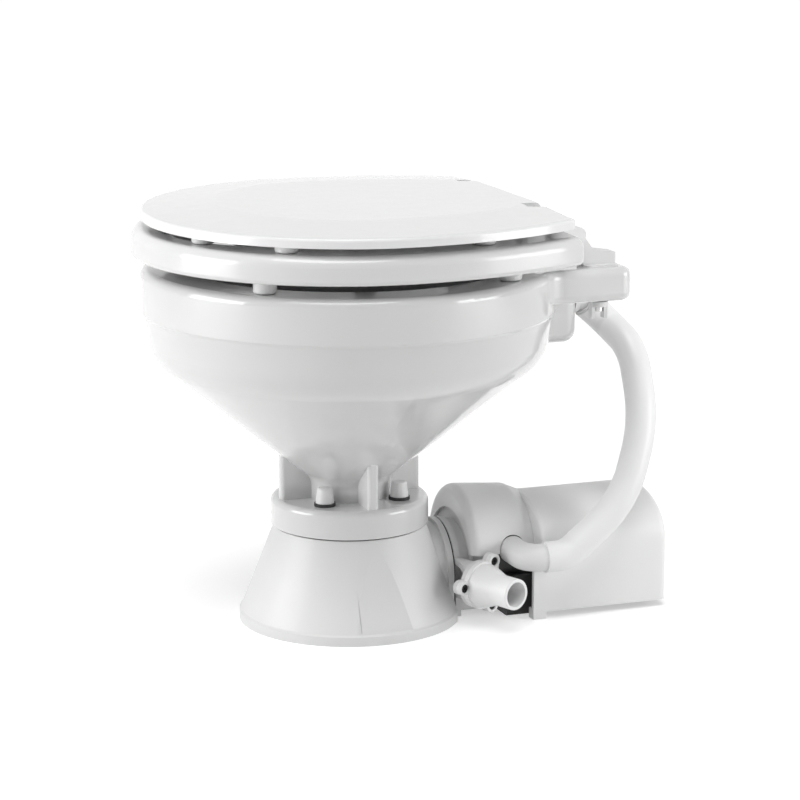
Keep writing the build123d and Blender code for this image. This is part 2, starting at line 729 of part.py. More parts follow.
def notch_span(side):
    """The X span of the lid's cut-out above a hinge block."""
    low, high = lug_span(side)
    return low - NOTCH_MARGIN, high + NOTCH_MARGIN


def make_lid():
    rim_top = LID_Z + LID_RIM_T
    body = rise(lid_face(), LID_Z, rim_top)
    body = fillet(body.edges().group_by(Axis.Z)[-1], LID_EDGE_R)
    plateau = seat_outline(LID_W - 2 * PLATEAU_INSET, LID_FRONT_Y + PLATEAU_INSET, LID_WIDEST_Y,
                           LID_REAR_Y - PLATEAU_REAR_INSET, PLATEAU_REAR_W, LID_CORNER_R)
    border = lid_face(LID_EDGE_R * LID_BORDER_SHARE)
    body += loft([Plane.XY.offset(rim_top) * border, Plane.XY.offset(rim_top + LID_CROWN) * plateau],
                 ruled=True)
    body -= rise(lid_face(LID_WALL), LID_Z - OVER, LID_Z + LID_HOLLOW_DEPTH)
    root = (LID_REAR_Y + LID_ARM_ROOT_DY, LID_Z + LID_ARM_ROOT_DZ)
    relief_y = SEAT_REAR_Y - SEAT_TOP_EDGE_R
    relief_z = SEAT_Z + SEAT_T - SEAT_TOP_EDGE_R
    relief_r = SEAT_TOP_EDGE_R + ARM_RELIEF
    relief = Pos(relief_y, relief_z) * Circle(relief_r)
    relief += Pos(relief_y - relief_r, relief_z) * Rectangle(2 * relief_r, 2 * relief_r)
    for side in (-1, 1):
        span = arm_span(side, True)
        body += hinge_arm(span, root, LID_ARM_ROOT_R) - along_x(relief, span[0], span[1])
        low, high = notch_span(side)
        notch_y = 2 * PIVOT_Y - BLOCK_REAR_Y - NOTCH_REACH
        walls = box_between(low - LID_WALL / 2, high, notch_y - LID_WALL / 2, LID_REAR_Y - LID_WALL,
                            LID_Z, LID_Z + LID_HOLLOW_DEPTH)
        body += walls
        body -= box_between(low, high, notch_y, LID_REAR_Y + OVER, LID_Z - OVER, rim_top + OVER)
    return body


def make_buffers(places, z0, z1):
    """Round pads on both sides, rounded where they touch the piece below."""
    pads = []
    for x, y in places:
        pad = rise(Circle(BUFFER_R), z0, z1)
        pad = fillet(pad.edges().group_by(Axis.Z)[0], BUFFER_EDGE_R)
        pads.append(spot(x, y) * pad)
        pads.append(spot(-x, y) * pad)
    return pads


def make_seat_buffers():
    radius = SEAT_BUFFER_PCD / 2
    places = [(radius * cos(radians(angle)), radius * sin(radians(angle))) for angle in SEAT_BUFFER_ANGLES]
    return make_buffers(places, RIM_TOP_Z + GAP, SEAT_Z)


def make_lid_buffers():
    half = LID_W / 2 - BUFFER_INSET
    reach = LID_WIDEST_Y - LID_FRONT_Y - BUFFER_INSET
    places = [(half * cos(radians(angle)), LID_WIDEST_Y + reach * sin(radians(angle)))
              for angle in LID_BUFFER_ANGLES]
    return make_buffers(places, SEAT_Z + SEAT_T + GAP, LID_Z + LID_HOLLOW_DEPTH)


def make_hinge_blocks():
    blocks = []
    pad_top = RIM_TOP_Z + BLOCK_PAD_T
    for side in (-1, 1):
        low, high = lug_span(side)
        pad = box_between(side * HINGE_X - BLOCK_PAD_HALF_W, side * HINGE_X + BLOCK_PAD_HALF_W,
                          BLOCK_FRONT_Y, BLOCK_REAR_Y, RIM_TOP_Z, pad_top)
        pad = fillet(pad.edges().filter_by(Axis.Z), BLOCK_PAD_HALF_W / 3)
        profile = Polyline((BLOCK_FRONT_Y, RIM_TOP_Z), (BLOCK_FRONT_Y, BLOCK_TOP_Z),
                           (BLOCK_REAR_Y, BLOCK_TOP_REAR_Z), (BLOCK_REAR_Y, RIM_TOP_Z), close=True)
        core = along_x(make_face(profile), low, high)
        core = fillet(core.edges().group_by(Axis.Y)[-1], BLOCK_EDGE_R)
        knuckle = Pos(PIVOT_Y, PIVOT_Z) * Circle(KNUCKLE_R)
        foot = Pos(BLOCK_FRONT_Y + LUG_FOOT_R, BLOCK_TOP_Z - LUG_FOOT_R - TINY_FILLET) * Circle(LUG_FOOT_R)
        lug = along_x(make_hull(knuckle.edges() + foot.edges()), low, high)
        block = pad + core + lug
        block -= along_x(Pos(PIVOT_Y, PIVOT_Z) * Circle(PIN_R), low - OVER, high + OVER)
        hole = spot(side * HINGE_X, HINGE_BOLT_Y) * Circle(HINGE_BOLT_R + SLIP)
        block -= rise(hole, RIM_TOP_Z - OVER, pad_top + BLOCK_PAD_T)
        blocks.append(block)
    return blocks


def make_hinge_pins():
    pins = []
    reach = BORE_REACH - GAP
    for side in (-1, 1):
        centre = Pos(PIVOT_Y, PIVOT_Z) * Circle(PIN_R)
        pins.append(along_x(centre, side * HINGE_X - reach, side * HINGE_X + reach))
    return pins


def make_hinge_bolts():
    bolts = []
    for side in (-1, 1):
        shank = spot(side * HINGE_X, HINGE_BOLT_Y) * Circle(HINGE_BOLT_R)
        top_z = RIM_TOP_Z + 2 * BLOCK_PAD_T
        bolts.append(rise(shank, RIM_TOP_Z - DECK_T - HINGE_BOLT_TAIL, top_z))
    return bolts


def make_hinge_washers():
    washers = []
    under = RIM_TOP_Z - DECK_T
    for side in (-1, 1):
        section = Circle(HINGE_WASHER_R) - Circle(HINGE_BOLT_R + SLIP)
        washers.append(rise(spot(side * HINGE_X, HINGE_BOLT_Y) * section, under - HINGE_WASHER_T, under))
    return washers


def make_hinge_nuts():
    """Plastic wing nuts, with two finger wings hanging down."""
    nuts = []
    top_z = RIM_TOP_Z - DECK_T - HINGE_WASHER_T
    for side in (-1, 1):
        nut = rise(Circle(HINGE_NUT_R), top_z - HINGE_NUT_H, top_z)
        for end in (-1, 1):
            wing_y = end * (HINGE_NUT_R - WING_T / 2)
            nut += box_between(-WING_W / 2, WING_W / 2, wing_y - WING_T / 2, wing_y + WING_T / 2,
                               top_z - WING_H, top_z)
        nut -= rise(Circle(HINGE_BOLT_R + SLIP), top_z - OVER, top_z + OVER)
        nuts.append(spot(side * HINGE_X, HINGE_BOLT_Y) * nut)
    return nuts


def inlet_elbow_path():
    """The centre line from inside the lug out to the end of the hose leg."""
    bend_y = LUG_REAR_Y + COLLAR_T
    start = Vector(0, LUG_REAR_Y - INLET_BORE_DEPTH + GAP, INLET_Z)
    corner_run = INLET_BEND_R * sin(radians(INLET_BEND_ANGLE / 2)) / cos(radians(INLET_BEND_ANGLE / 2))
    corner = Vector(0, bend_y + corner_run, INLET_Z)
    down = Vector(0, cos(radians(INLET_BEND_ANGLE)), -sin(radians(INLET_BEND_ANGLE)))
    end = corner + down * (corner_run + INLET_LEG)
    return start, corner, end, down


def tube(points, radii, outer_r, inner_r, start_dir):
    """A pipe along straight runs and tangent arcs."""
    path = FilletPolyline(*points, radius=radii)
    section = Circle(outer_r)
    if inner_r > 0:
        section = section - Circle(inner_r)
    return sweep(Plane(origin=points[0], z_dir=start_dir) * section, path=path)


def make_inlet_elbow():
    start, corner, end, down = inlet_elbow_path()
    body = tube([start, corner, end], [INLET_BEND_R], ELBOW_SPIGOT_R, 0, (0, 1, 0))
    body += along_y(Pos(0, INLET_Z) * Circle(COLLAR_R), LUG_REAR_Y, LUG_REAR_Y + COLLAR_T)
    collar_plane = Plane(origin=end - down * INLET_LEG, z_dir=down)
    body += extrude(collar_plane * Circle(COLLAR_R), amount=COLLAR_T / 2)
    body -= tube([start, corner, end], [INLET_BEND_R], ELBOW_BORE_R, 0, (0, 1, 0))
    return body


def hose_ends():
    """Where the hose starts on the pump's elbow and where it ends on the bowl's elbow."""
    start = Vector(PUMP_ELBOW_X, PUMP_PORT_Y + PUMP_ELBOW_BEND_R + COLLAR_T / 2, PUMP_PORT_Z)
    _, _, end, down = inlet_elbow_path()
    return start, end - down * (INLET_LEG - COLLAR_T / 2), down


def hose_points():
    start, end, down = hose_ends()
    points = [start]
    for x_share, y_share, z_share in HOSE_VIA_SHARE:
        points.append(Vector(x_share * start.X, start.Y + y_share * (end.Y - start.Y),
                             start.Z + z_share * (end.Z - start.Z)))
    return points + [end + down * HOSE_END_RUN, end]


def route_radii(points):
    """Each bend is as large as its two runs allow."""
    radii = []
    for before, here, after in zip(points, points[1:], points[2:]):
        into = here - before
        out = after - here
        half_turn = radians(into.get_angle(out)) / 2
        radii.append(HOSE_BEND_SHARE * min(into.length, out.length) * cos(half_turn) / sin(half_turn))
    return radii


def make_hose():
    points = hose_points()
    radii = route_radii(points)
    return tube(points, radii, HOSE_R, HOSE_BORE_R, (0, 1, 0))


def port_plane(depth):
    """The discharge port's own plane, a distance out along its axis from the flange's seat."""
    out = Vector(cos(radians(PORT_YAW)), sin(radians(PORT_YAW)), 0)
    return Plane(origin=Vector(PORT_X, PORT_Y, PORT_Z) + out * depth, x_dir=(-out.Y, out.X, 0), z_dir=out)


def port_lobes(ear_hole_r):
    section = Circle(PORT_FLANGE_R)
    for x, y in ring_spots(PORT_EAR_COUNT, PORT_EAR_PCD / 2, HALF_TURN + PORT_EAR_TURN):
        section += make_hull((Pos(x, y) * Circle(PORT_EAR_R)).edges()
                             + (Pos(x / 2, y / 2) * Circle(PORT_EAR_R)).edges())
    for x, y in ring_spots(PORT_EAR_COUNT, PORT_EAR_PCD / 2, HALF_TURN + PORT_EAR_TURN):
        section -= Pos(x, y) * Circle(ear_hole_r)
    return section


def tie_spots():
    return ring_spots(TIE_COUNT, TIE_PCD / 2, RIGHT_ANGLE / 2)


def make_macerator_housing():
    face_y = ARCH_END_Y + OUTLET_GASKET_T
    body = along_y(arch_section(ARCH_FLANGE_R, DUCT_Z, ARCH_FOOT_Z), face_y, face_y + ARCH_FLANGE_T)
    neck_section = arch_section(CHAMBER_NECK_R, DUCT_Z, CHAMBER_NECK_FOOT_Z)
    body += along_y(neck_section, face_y + ARCH_FLANGE_T, CHAMBER_REAR_Y)
    body += along_y(Pos(0, PUMP_Z) * Circle(CHAMBER_R), CHAMBER_FRONT_Y, CHAMBER_REAR_Y)
    neck = extrude(port_plane(-PORT_FLANGE_T - PORT_X / 2) * Circle(PORT_NECK_R), amount=PORT_X / 2)
    body += neck & box_between(0, 2 * PORT_X, face_y, 2 * CHAMBER_REAR_Y, 0, 2 * PORT_Z)
    body += extrude(port_plane(-PORT_FLANGE_T) * port_lobes(PORT_SCREW_R), amount=PORT_FLANGE_T)
    cavity_y = CHAMBER_FRONT_Y + CHAMBER_FACE_T
    body -= along_y(Pos(0, PUMP_Z) * Circle(CHAMBER_R - CHAMBER_WALL), cavity_y, CHAMBER_REAR_Y + OVER)
    body -= along_y(Pos(0, DUCT_Z) * Circle(DUCT_R), face_y - OVER, cavity_y)
    body -= extrude(port_plane(-PORT_FLANGE_T - PORT_X / 2) * Circle(PORT_BORE_R), amount=PORT_X)
    body -= tie_holes(TIE_R - SLIP, PUMP_BODY_REAR_Y - TIE_L, PUMP_BODY_REAR_Y)
    return body


def make_outlet_gasket():
    section = arch_section(ARCH_FLANGE_R - SKIRT_STEP, DUCT_Z, ARCH_FOOT_Z + SKIRT_STEP)
    section -= Pos(0, DUCT_Z) * Circle(DUCT_R + DUCT_WALL / 2)
    return along_y(section, ARCH_END_Y, ARCH_END_Y + OUTLET_GASKET_T)


def make_discharge_port():
    plate = extrude(port_plane(0) * port_lobes(PORT_SCREW_R + SLIP), amount=PORT_FLANGE_T)
    top_r = PORT_FLANGE_R - 2 * SPIGOT_BEAD
    rings = []
    for height_share, width_share in DOME_RING_SHARE:
        ring_r = SPIGOT_R + width_share * (top_r - SPIGOT_R)
        rings.append(port_plane(PORT_FLANGE_T + height_share * DOME_H) * Circle(ring_r))
    dome = loft(rings)
    spigot = extrude(port_plane(PORT_FLANGE_T + DOME_H) * Circle(SPIGOT_R),
                     amount=SPIGOT_REACH - PORT_FLANGE_T - DOME_H)
    spigot = fillet(spigot.edges().sort_by(Axis.X)[-1:], SPIGOT_BEAD)
    body = plate + dome + spigot
    body -= extrude(port_plane(-OVER) * Circle(SPIGOT_BORE_R), amount=SPIGOT_REACH + 2 * OVER)
    pocket_r = PORT_BORE_R + VALVE_FLANGE_T
    body -= extrude(port_plane(-OVER) * Circle(pocket_r), amount=OVER + VALVE_FLANGE_T)
    for x, y in ring_spots(PORT_EAR_COUNT, PORT_EAR_PCD / 2, HALF_TURN + PORT_EAR_TURN):
        recess = Pos(x, y) * Circle(PORT_RECESS_R)
        body -= extrude(port_plane(PORT_FLANGE_T - PORT_RECESS_DEPTH) * recess, amount=OVER)
    return body


def valve_wedge(half, mouth_half, z0, z1):
    """A wedge along the discharge axis that narrows from its root to its mouth."""
    centre = port_plane(0)
    section = Polyline((-half, z0), (half, z0), (half, VALVE_FLANGE_T), (mouth_half, z1), (-mouth_half, z1),
                       (-half, VALVE_FLANGE_T), close=True)
    wedge_plane = Plane(origin=centre.origin, x_dir=(0, 0, 1), z_dir=centre.x_dir)
    return extrude(wedge_plane * make_face(section), amount=half, both=True)


def make_joker_valve():
    """A rubber duckbill: a flange, a sock that narrows like a wedge and a slit mouth."""
    flange = extrude(port_plane(0) * Circle(PORT_BORE_R + VALVE_FLANGE_T - GAP), amount=VALVE_FLANGE_T)
    throat = SPIGOT_BORE_R - GAP
    inner = throat - VALVE_LIP_W
    sock = extrude(port_plane(0) * Circle(throat), amount=VALVE_L)
    sock = sock & valve_wedge(throat + GAP, VALVE_LIP_W, 0, VALVE_L)
    hollow = extrude(port_plane(-VALVE_L) * Circle(inner), amount=3 * VALVE_L)
    hollow = hollow & valve_wedge(inner + GAP, VALVE_LIP_W / 8, -VALVE_L, VALVE_L + VALVE_FLANGE_T)
    return flange + sock - hollow


def make_port_screws():
    screws = []
    seat = PORT_FLANGE_T - PORT_RECESS_DEPTH
    for x, y in ring_spots(PORT_EAR_COUNT, PORT_EAR_PCD / 2, HALF_TURN + PORT_EAR_TURN):
        disc = Pos(x, y) * Circle(PORT_SCREW_HEAD_R)
        head = extrude(port_plane(seat) * disc, amount=PORT_SCREW_HEAD_H)
        socket = Pos(x, y) * hexagon(PORT_SCREW_SOCKET_AF)
        head -= extrude(port_plane(seat + PORT_SCREW_HEAD_H / 3) * socket, amount=OVER)
        shank = Pos(x, y) * Circle(PORT_SCREW_R - SLIP)
        screws.append(head + extrude(port_plane(seat - PORT_SCREW_L) * shank, amount=PORT_SCREW_L))
    return screws


def make_cutter_plate():
    """A slotted plate that the blade shears against, at the chamber's mouth."""
    y0 = CHAMBER_FRONT_Y + CHAMBER_FACE_T
    section = Pos(0, PUMP_Z) * Circle(CHAMBER_R - CHAMBER_WALL - SLIP)
    section -= Pos(0, PUMP_Z) * Circle(HUB_R + GAP)
    for x, z in ring_spots(CUTTER_SLOT_COUNT, CUTTER_SLOT_PCD / 2):
        section -= Pos(x, PUMP_Z + z) * Circle(CUTTER_SLOT_R)
    return along_y(section, y0, y0 + CUTTER_PLATE_T)


def make_cutter_blade():
    section = Pos(0, PUMP_Z) * Circle(HUB_R)
    for index in range(BLADE_COUNT):
        wing = Polyline((-BLADE_W / 2, 0), (BLADE_W / 2, 0), (BLADE_W, BLADE_REACH), (0, BLADE_REACH),
                        close=True)
        section += Pos(0, PUMP_Z) * Rot(0, 0, index * FULL_TURN / BLADE_COUNT) * make_face(wing)
    section -= Pos(0, PUMP_Z) * Circle(SHAFT_R)
    return along_y(section, BLADE_Y, BLADE_Y + BLADE_T)


def make_discharge_impeller():
    disc = Pos(0, PUMP_Z) * (Circle(WHEEL_R) - Circle(SHAFT_R))
    body = along_y(disc, WHEEL_Y + VANE_H, WHEEL_Y + VANE_H + WHEEL_DISC_T)
    body += along_y(Pos(0, PUMP_Z) * (Circle(HUB_R) - Circle(SHAFT_R)), WHEEL_Y, WHEEL_Y + VANE_H)
    sweep_share = VANE_T / 2 / VANE_SWEEP_R
    arc_ring = Circle(VANE_SWEEP_R * (1 + sweep_share)) - Circle(VANE_SWEEP_R * (1 - sweep_share))
    upper_half = Pos(0, WHEEL_R) * Rectangle(2 * WHEEL_R, 2 * WHEEL_R)
    vane = Pos(VANE_SWEEP_R, 0) * arc_ring
    vane = vane & (Circle(WHEEL_R) - Circle(HUB_R - TINY_FILLET)) & upper_half
    for index in range(VANE_COUNT):
        turn = Rot(0, 0, index * FULL_TURN / VANE_COUNT)
        body += along_y(Pos(0, PUMP_Z) * turn * vane, WHEEL_Y, WHEEL_Y + VANE_H)
    return body


def make_seal_plate():
    section = Pos(0, PUMP_Z) * (Circle(CHAMBER_R) - Circle(SEAL_R))
    body = along_y(section, PUMP_BODY_Y, PUMP_BODY_Y + PLATE_T)
    return body - tie_holes(TIE_R, PUMP_BODY_Y - OVER, PUMP_BODY_REAR_Y)


def make_shaft_seal():
    section = Pos(0, PUMP_Z) * (Circle(SEAL_R - SLIP) - Circle(SHAFT_R + GAP))
    return along_y(section, PUMP_BODY_Y, PUMP_BODY_Y + SEAL_T)


def make_wear_plate():
    y0 = PUMP_BODY_Y + PLATE_T
    section = Pos(0, PUMP_Z) * (Circle(PUMP_CAVITY_R - SLIP) - Circle(SHAFT_R + GAP))
    return along_y(section, y0, y0 + WEAR_PLATE_T)


def make_flush_pump_housing():
    y0 = PUMP_BODY_Y + PLATE_T
    body = along_y(Pos(0, PUMP_Z) * Circle(CHAMBER_R), y0, PUMP_BODY_REAR_Y)
    foot = box_between(-PUMP_FOOT_HALF_W, PUMP_FOOT_HALF_W, y0, PUMP_BODY_REAR_Y, 0, PUMP_FOOT_H)
    body += fillet(foot.edges().filter_by(Axis.Y), PUMP_FOOT_EDGE_R)
    for side in (-1, 1):
        inner, outer = CHAMBER_R + GAP, CHAMBER_R + GAP + PUMP_BOSS_T
        boss = Pos(PUMP_PORT_Y, PUMP_PORT_Z) * Circle(PUMP_BOSS_R)
        neck = Pos(PUMP_PORT_Y + PUMP_PORT_NECK_R / 2, PUMP_PORT_Z) * Circle(PUMP_PORT_NECK_R)
        span = sorted((side * inner, side * outer))
        body += along_x(boss, span[0], span[1])
        span = sorted((side * PUMP_CAVITY_R, side * outer))
        behind_plate = Pos(y0 + OVER, PUMP_PORT_Z) * Rectangle(2 * OVER, 2 * OVER)
        body += along_x(neck & behind_plate, span[0], span[1])
    body -= along_y(Pos(0, PUMP_Z) * Circle(PUMP_CAVITY_R), y0 - OVER, PUMP_BODY_REAR_Y - PUMP_CAVITY_WALL)
    body -= along_y(Pos(0, PUMP_Z) * Circle(SHAFT_R + GAP), y0, PUMP_BODY_REAR_Y + OVER)
    bore = Pos(PUMP_PORT_Y + PUMP_PORT_NECK_R / 2, PUMP_PORT_Z) * Circle(PUMP_PORT_BORE_R / 2)
    body -= along_x(bore, -CHAMBER_R - OVER, CHAMBER_R + OVER)
    body -= tie_holes(TIE_R, y0 - OVER, PUMP_BODY_REAR_Y + OVER)
    return body


def make_intake_impeller():
    section = Circle(IMPELLER_HUB_R)
    for index in range(IMPELLER_BLADE_COUNT):
        turn = Rot(0, 0, index * FULL_TURN / IMPELLER_BLADE_COUNT)
        reach = IMPELLER_R - IMPELLER_TIP_R
        blade = Pos(0, reach / 2) * Rectangle(IMPELLER_BLADE_T, reach)
        blade += Pos(0, reach) * Circle(IMPELLER_TIP_R)
        section += turn * blade
    section -= Circle(SHAFT_R)
    y0 = PUMP_BODY_Y + PLATE_T + WEAR_PLATE_T + GAP
    return along_y(Pos(0, PUMP_Z) * section, y0, PUMP_BODY_REAR_Y - PUMP_CAVITY_WALL - GAP)


def make_pump_elbow():
    """The pump's outlet: a flange on the boss, a leg out along X and a leg back along Y."""
    start = Vector(CHAMBER_R + GAP + PUMP_BOSS_T, PUMP_PORT_Y, PUMP_PORT_Z)
    corner = Vector(PUMP_ELBOW_X, PUMP_PORT_Y, PUMP_PORT_Z)
    end = corner + Vector(0, PUMP_ELBOW_BEND_R + PUMP_ELBOW_LEG, 0)
    shoulder = corner + Vector(0, PUMP_ELBOW_BEND_R + COLLAR_T / 2, 0)
    body = tube([start, corner, shoulder], [PUMP_ELBOW_BEND_R], PUMP_ELBOW_R, 0, (1, 0, 0))
    body += rod((corner.X, corner.Y + PUMP_ELBOW_BEND_R, corner.Z), (end.X, end.Y, end.Z), ELBOW_SPIGOT_R)
    body -= tube([start - Vector(OVER, 0, 0), corner, end + Vector(0, OVER, 0)], [PUMP_ELBOW_BEND_R],
                 PUMP_PORT_BORE_R, 0, (1, 0, 0))
    return body


def make_supply_spigot():
    """The raw water inlet on the far side, for a hose from the sea cock."""
    seat_x = CHAMBER_R + GAP + PUMP_BOSS_T
    centre = Pos(PUMP_PORT_Y, PUMP_PORT_Z)
    flange = along_x(centre * Circle(PUMP_BOSS_R), -seat_x - SUPPLY_FLANGE_T, -seat_x)
    stem = along_x(centre * Circle(SUPPLY_SPIGOT_R), -SUPPLY_REACH, -seat_x)
    stem = fillet(stem.edges().sort_by(Axis.X)[:1], SPIGOT_BEAD)
    bore = along_x(centre * Circle(PUMP_PORT_BORE_R), -SUPPLY_REACH - OVER, -seat_x + OVER)
    return flange + stem - bore


def tie_holes(radius, y0, y1):
    section = Sketch()
    for x, z in tie_spots():
        section += Pos(x, PUMP_Z + z) * Circle(radius)
    return along_y(section, y0, y1)


def make_tie_screws():
    """Long screws that clamp the flushing pump, the seal plate and the macerator housing."""
    screws = []
    rear_y = PUMP_BODY_REAR_Y
    for x, z in tie_spots():
        place = Pos(x, PUMP_Z + z)
        head = along_y(place * Circle(TIE_HEAD_R), rear_y, rear_y + TIE_HEAD_H)
        screws.append(head + along_y(place * Circle(TIE_R - SLIP), rear_y - TIE_L, rear_y))
    return screws


def make_motor_can():
    y0 = PUMP_BODY_REAR_Y
    body = along_y(Pos(0, PUMP_Z) * Circle(MOTOR_R), y0, MOTOR_REAR_Y)
    body -= along_y(Pos(0, PUMP_Z) * Circle(MOTOR_R - MOTOR_WALL), y0 + MOTOR_FACE_T, MOTOR_REAR_Y + OVER)
    body += along_y(Pos(0, PUMP_Z) * Circle(BEARING_R + MOTOR_WALL), y0, y0 + MOTOR_FACE_T + BEARING_T)
    body -= along_y(Pos(0, PUMP_Z) * Circle(BEARING_R), y0 + MOTOR_FACE_T, MOTOR_REAR_Y)
    body -= along_y(Pos(0, PUMP_Z) * Circle(SHAFT_R + GAP), y0 - OVER, MOTOR_REAR_Y)
    return body


def make_end_cap():
    y1 = MOTOR_REAR_Y + END_CAP_T
    body = along_y(Pos(0, PUMP_Z) * Circle(MOTOR_R), MOTOR_REAR_Y, y1)
    body = fillet(body.edges().group_by(Axis.Y)[-1], END_CAP_WALL)
    body -= along_y(Pos(0, PUMP_Z) * Circle(MOTOR_R - END_CAP_WALL), MOTOR_REAR_Y - OVER, y1 - END_CAP_WALL)
    body += along_y(Pos(0, PUMP_Z) * Circle(BEARING_R + END_CAP_WALL), y1 - END_CAP_WALL - BEARING_T, y1)
    body -= along_y(Pos(0, PUMP_Z) * Circle(BEARING_R), MOTOR_REAR_Y, y1 - END_CAP_WALL)
    return body


def make_bearings():
    bearings = []
    starts = (PUMP_BODY_REAR_Y + MOTOR_FACE_T, MOTOR_REAR_Y + END_CAP_T - END_CAP_WALL - BEARING_T)
    for y0 in starts:
        section = Pos(0, PUMP_Z) * (Circle(BEARING_R - SLIP) - Circle(SHAFT_R + SLIP))
        bearings.append(along_y(section, y0, y0 + BEARING_T))
    return bearings


def make_shaft():
    rear_y = MOTOR_REAR_Y + END_CAP_T - END_CAP_WALL - GAP
    return along_y(Pos(0, PUMP_Z) * Circle(SHAFT_R), SHAFT_FRONT_Y, rear_y)


def make_armature():
    section = Circle(ARMATURE_R)
    for x, z in ring_spots(ARMATURE_SLOTS, ARMATURE_R):
        section -= Pos(x, z) * Circle(ARMATURE_SLOT_R)
    y1 = ARMATURE_FRONT_Y + ARMATURE_L
    body = along_y(Pos(0, PUMP_Z) * section, ARMATURE_FRONT_Y, y1)
    body += along_y(Pos(0, PUMP_Z) * Circle(COMMUTATOR_R), y1, y1 + COMMUTATOR_L)
    body -= along_y(Pos(0, PUMP_Z) * Circle(SHAFT_R), ARMATURE_FRONT_Y - OVER, y1 + COMMUTATOR_L + OVER)
    return body


def make_magnets():
    magnets = []
    reach = 2 * MAGNET_R
    across = reach * cos(radians(MAGNET_ARC / 2))
    up = reach * sin(radians(MAGNET_ARC / 2))
    y0 = ARMATURE_FRONT_Y - GAP
    for side in (-1, 1):
        wedge = Polyline((0, 0), (side * across, up), (side * reach, 0), (side * across, -up), close=True)
        section = (Circle(MAGNET_R) - Circle(MAGNET_R - MAGNET_T)) & make_face(wedge)
        magnets.append(along_y(Pos(0, PUMP_Z) * section, y0, ARMATURE_FRONT_Y + MAGNET_L))
    return magnets


def make_brushes():
    brushes = []
    y0 = ARMATURE_FRONT_Y + ARMATURE_L + COMMUTATOR_L / 2 - BRUSH_W / 2
    for side in (-1, 1):
        centre = PUMP_Z + side * (COMMUTATOR_R + GAP + BRUSH_L / 2)
        section = Pos(0, centre) * Rectangle(BRUSH_H, BRUSH_L)
        brushes.append(along_y(section, y0, y0 + BRUSH_W))
    return brushes


def make_brush_ring():
    """The holder that carries both brushes inside the motor."""
    y0 = ARMATURE_FRONT_Y + ARMATURE_L + COMMUTATOR_L / 2 + BRUSH_W / 2
    section = Pos(0, PUMP_Z) * (Circle(MOTOR_R - MOTOR_WALL - SLIP) - Circle(COMMUTATOR_R + 2 * GAP))
    return along_y(section, y0, y0 + MOTOR_WALL)


def make_motor_bracket():
    top_z = PAD_H + BRACKET_T
    rear_y = COVER_REAR_Y - COVER_WALL
    body = box_between(-BRACKET_HALF_W, BRACKET_HALF_W, BRACKET_FRONT_Y, rear_y, PAD_H, top_z)
    body += box_between(-BRACKET_HALF_W, BRACKET_HALF_W, rear_y - UPSTAND_T, rear_y, PAD_H, UPSTAND_TOP_Z)
    step = (MOTOR_REAR_Y - BRACKET_FRONT_Y - SADDLE_T) / (SADDLE_COUNT - 1)
    for index in range(SADDLE_COUNT):
        y0 = BRACKET_FRONT_Y + index * step
        body += box_between(-SADDLE_HALF_W, SADDLE_HALF_W, y0, y0 + SADDLE_T, top_z, PUMP_Z - MOTOR_R / 2)
    body -= along_y(Pos(0, PUMP_Z) * Circle(MOTOR_R + SLIP), BRACKET_FRONT_Y - OVER, rear_y - UPSTAND_T)
    for side in (-1, 1):
        section = Pos(side * COVER_SCREW_X, COVER_SCREW_Z) * Circle(COVER_SCREW_R)
        body -= along_y(section, rear_y - OVER, rear_y + OVER)
    return body


def make_motor_pads():
    pads = []
    rear_y = COVER_REAR_Y - COVER_WALL
    for x in (-BRACKET_HALF_W + PAD_INSET, BRACKET_HALF_W - PAD_INSET):
        for y in (BRACKET_FRONT_Y + PAD_INSET, rear_y - PAD_INSET):
            pads.append(rise(spot(x, y) * Circle(PAD_R), 0, PAD_H))
    return pads


def cover_section(inset):
    """The motor cover's arch: straight sides under half an ellipse."""
    half = COVER_HALF_W - inset
    crown_h = COVER_TOP_Z - COVER_SHOULDER_Z - inset
    foot = COVER_BOTTOM_Z - (OVER if inset else 0)
    crown = EllipticalCenterArc((COVER_X, COVER_SHOULDER_Z), half, crown_h, 0, arc_size=HALF_TURN)
    sides = Polyline(crown @ 1, (COVER_X - half, foot), (COVER_X + half, foot), crown @ 0)
    return make_face(Curve() + [crown, sides])


def bell(wall):
    """The bell over the pump, turned about the pump's axis and cut off level with its skirt."""
    y0 = BELL_FRONT_Y + wall
    y1 = COVER_FRONT_Y + 2 * COVER_WALL
    points = [(0, y0), (BELL_FRONT_R - wall, y0), (BELL_REAR_R - wall, BELL_TAIL_Y),
              (BELL_TAIL_R - wall, y1), (0, y1)]
    face = make_face(Plane.XY * Polyline(*points, close=True))
    corner = face.vertices().sort_by(lambda vertex: vertex.Y - vertex.X)[0]
    face = fillet(corner, BELL_EDGE_R - wall)
    shoulder = face.vertices().sort_by(
        lambda vertex: hypot(vertex.X - BELL_REAR_R, vertex.Y - BELL_TAIL_Y))[0]
    face = fillet(shoulder, BELL_TAIL_ROUND_R)
    solid = revolve(face, Axis.Y)
    low = BELL_SKIRT_Z - PUMP_Z - (OVER if wall else 0)
    reach = 2 * BELL_FRONT_R
    return Pos(0, 0, PUMP_Z) * (solid & box_between(-reach, reach, y0 - OVER, y1 + OVER, low, reach))


def lip_span(side, inward):
    """The X span of the cover's front lip, from a little proud of its wall to a distance inside it."""
    return sorted((COVER_X + side * (COVER_HALF_W - inward), COVER_X + side * (COVER_HALF_W + COVER_LIP_PROUD)))


def lip_front_y(side):
    """The lip under the hose reaches forward past the pump; the other one ends with its wall."""
    return COVER_LIP_FRONT_Y if side > 0 else COVER_FRONT_Y


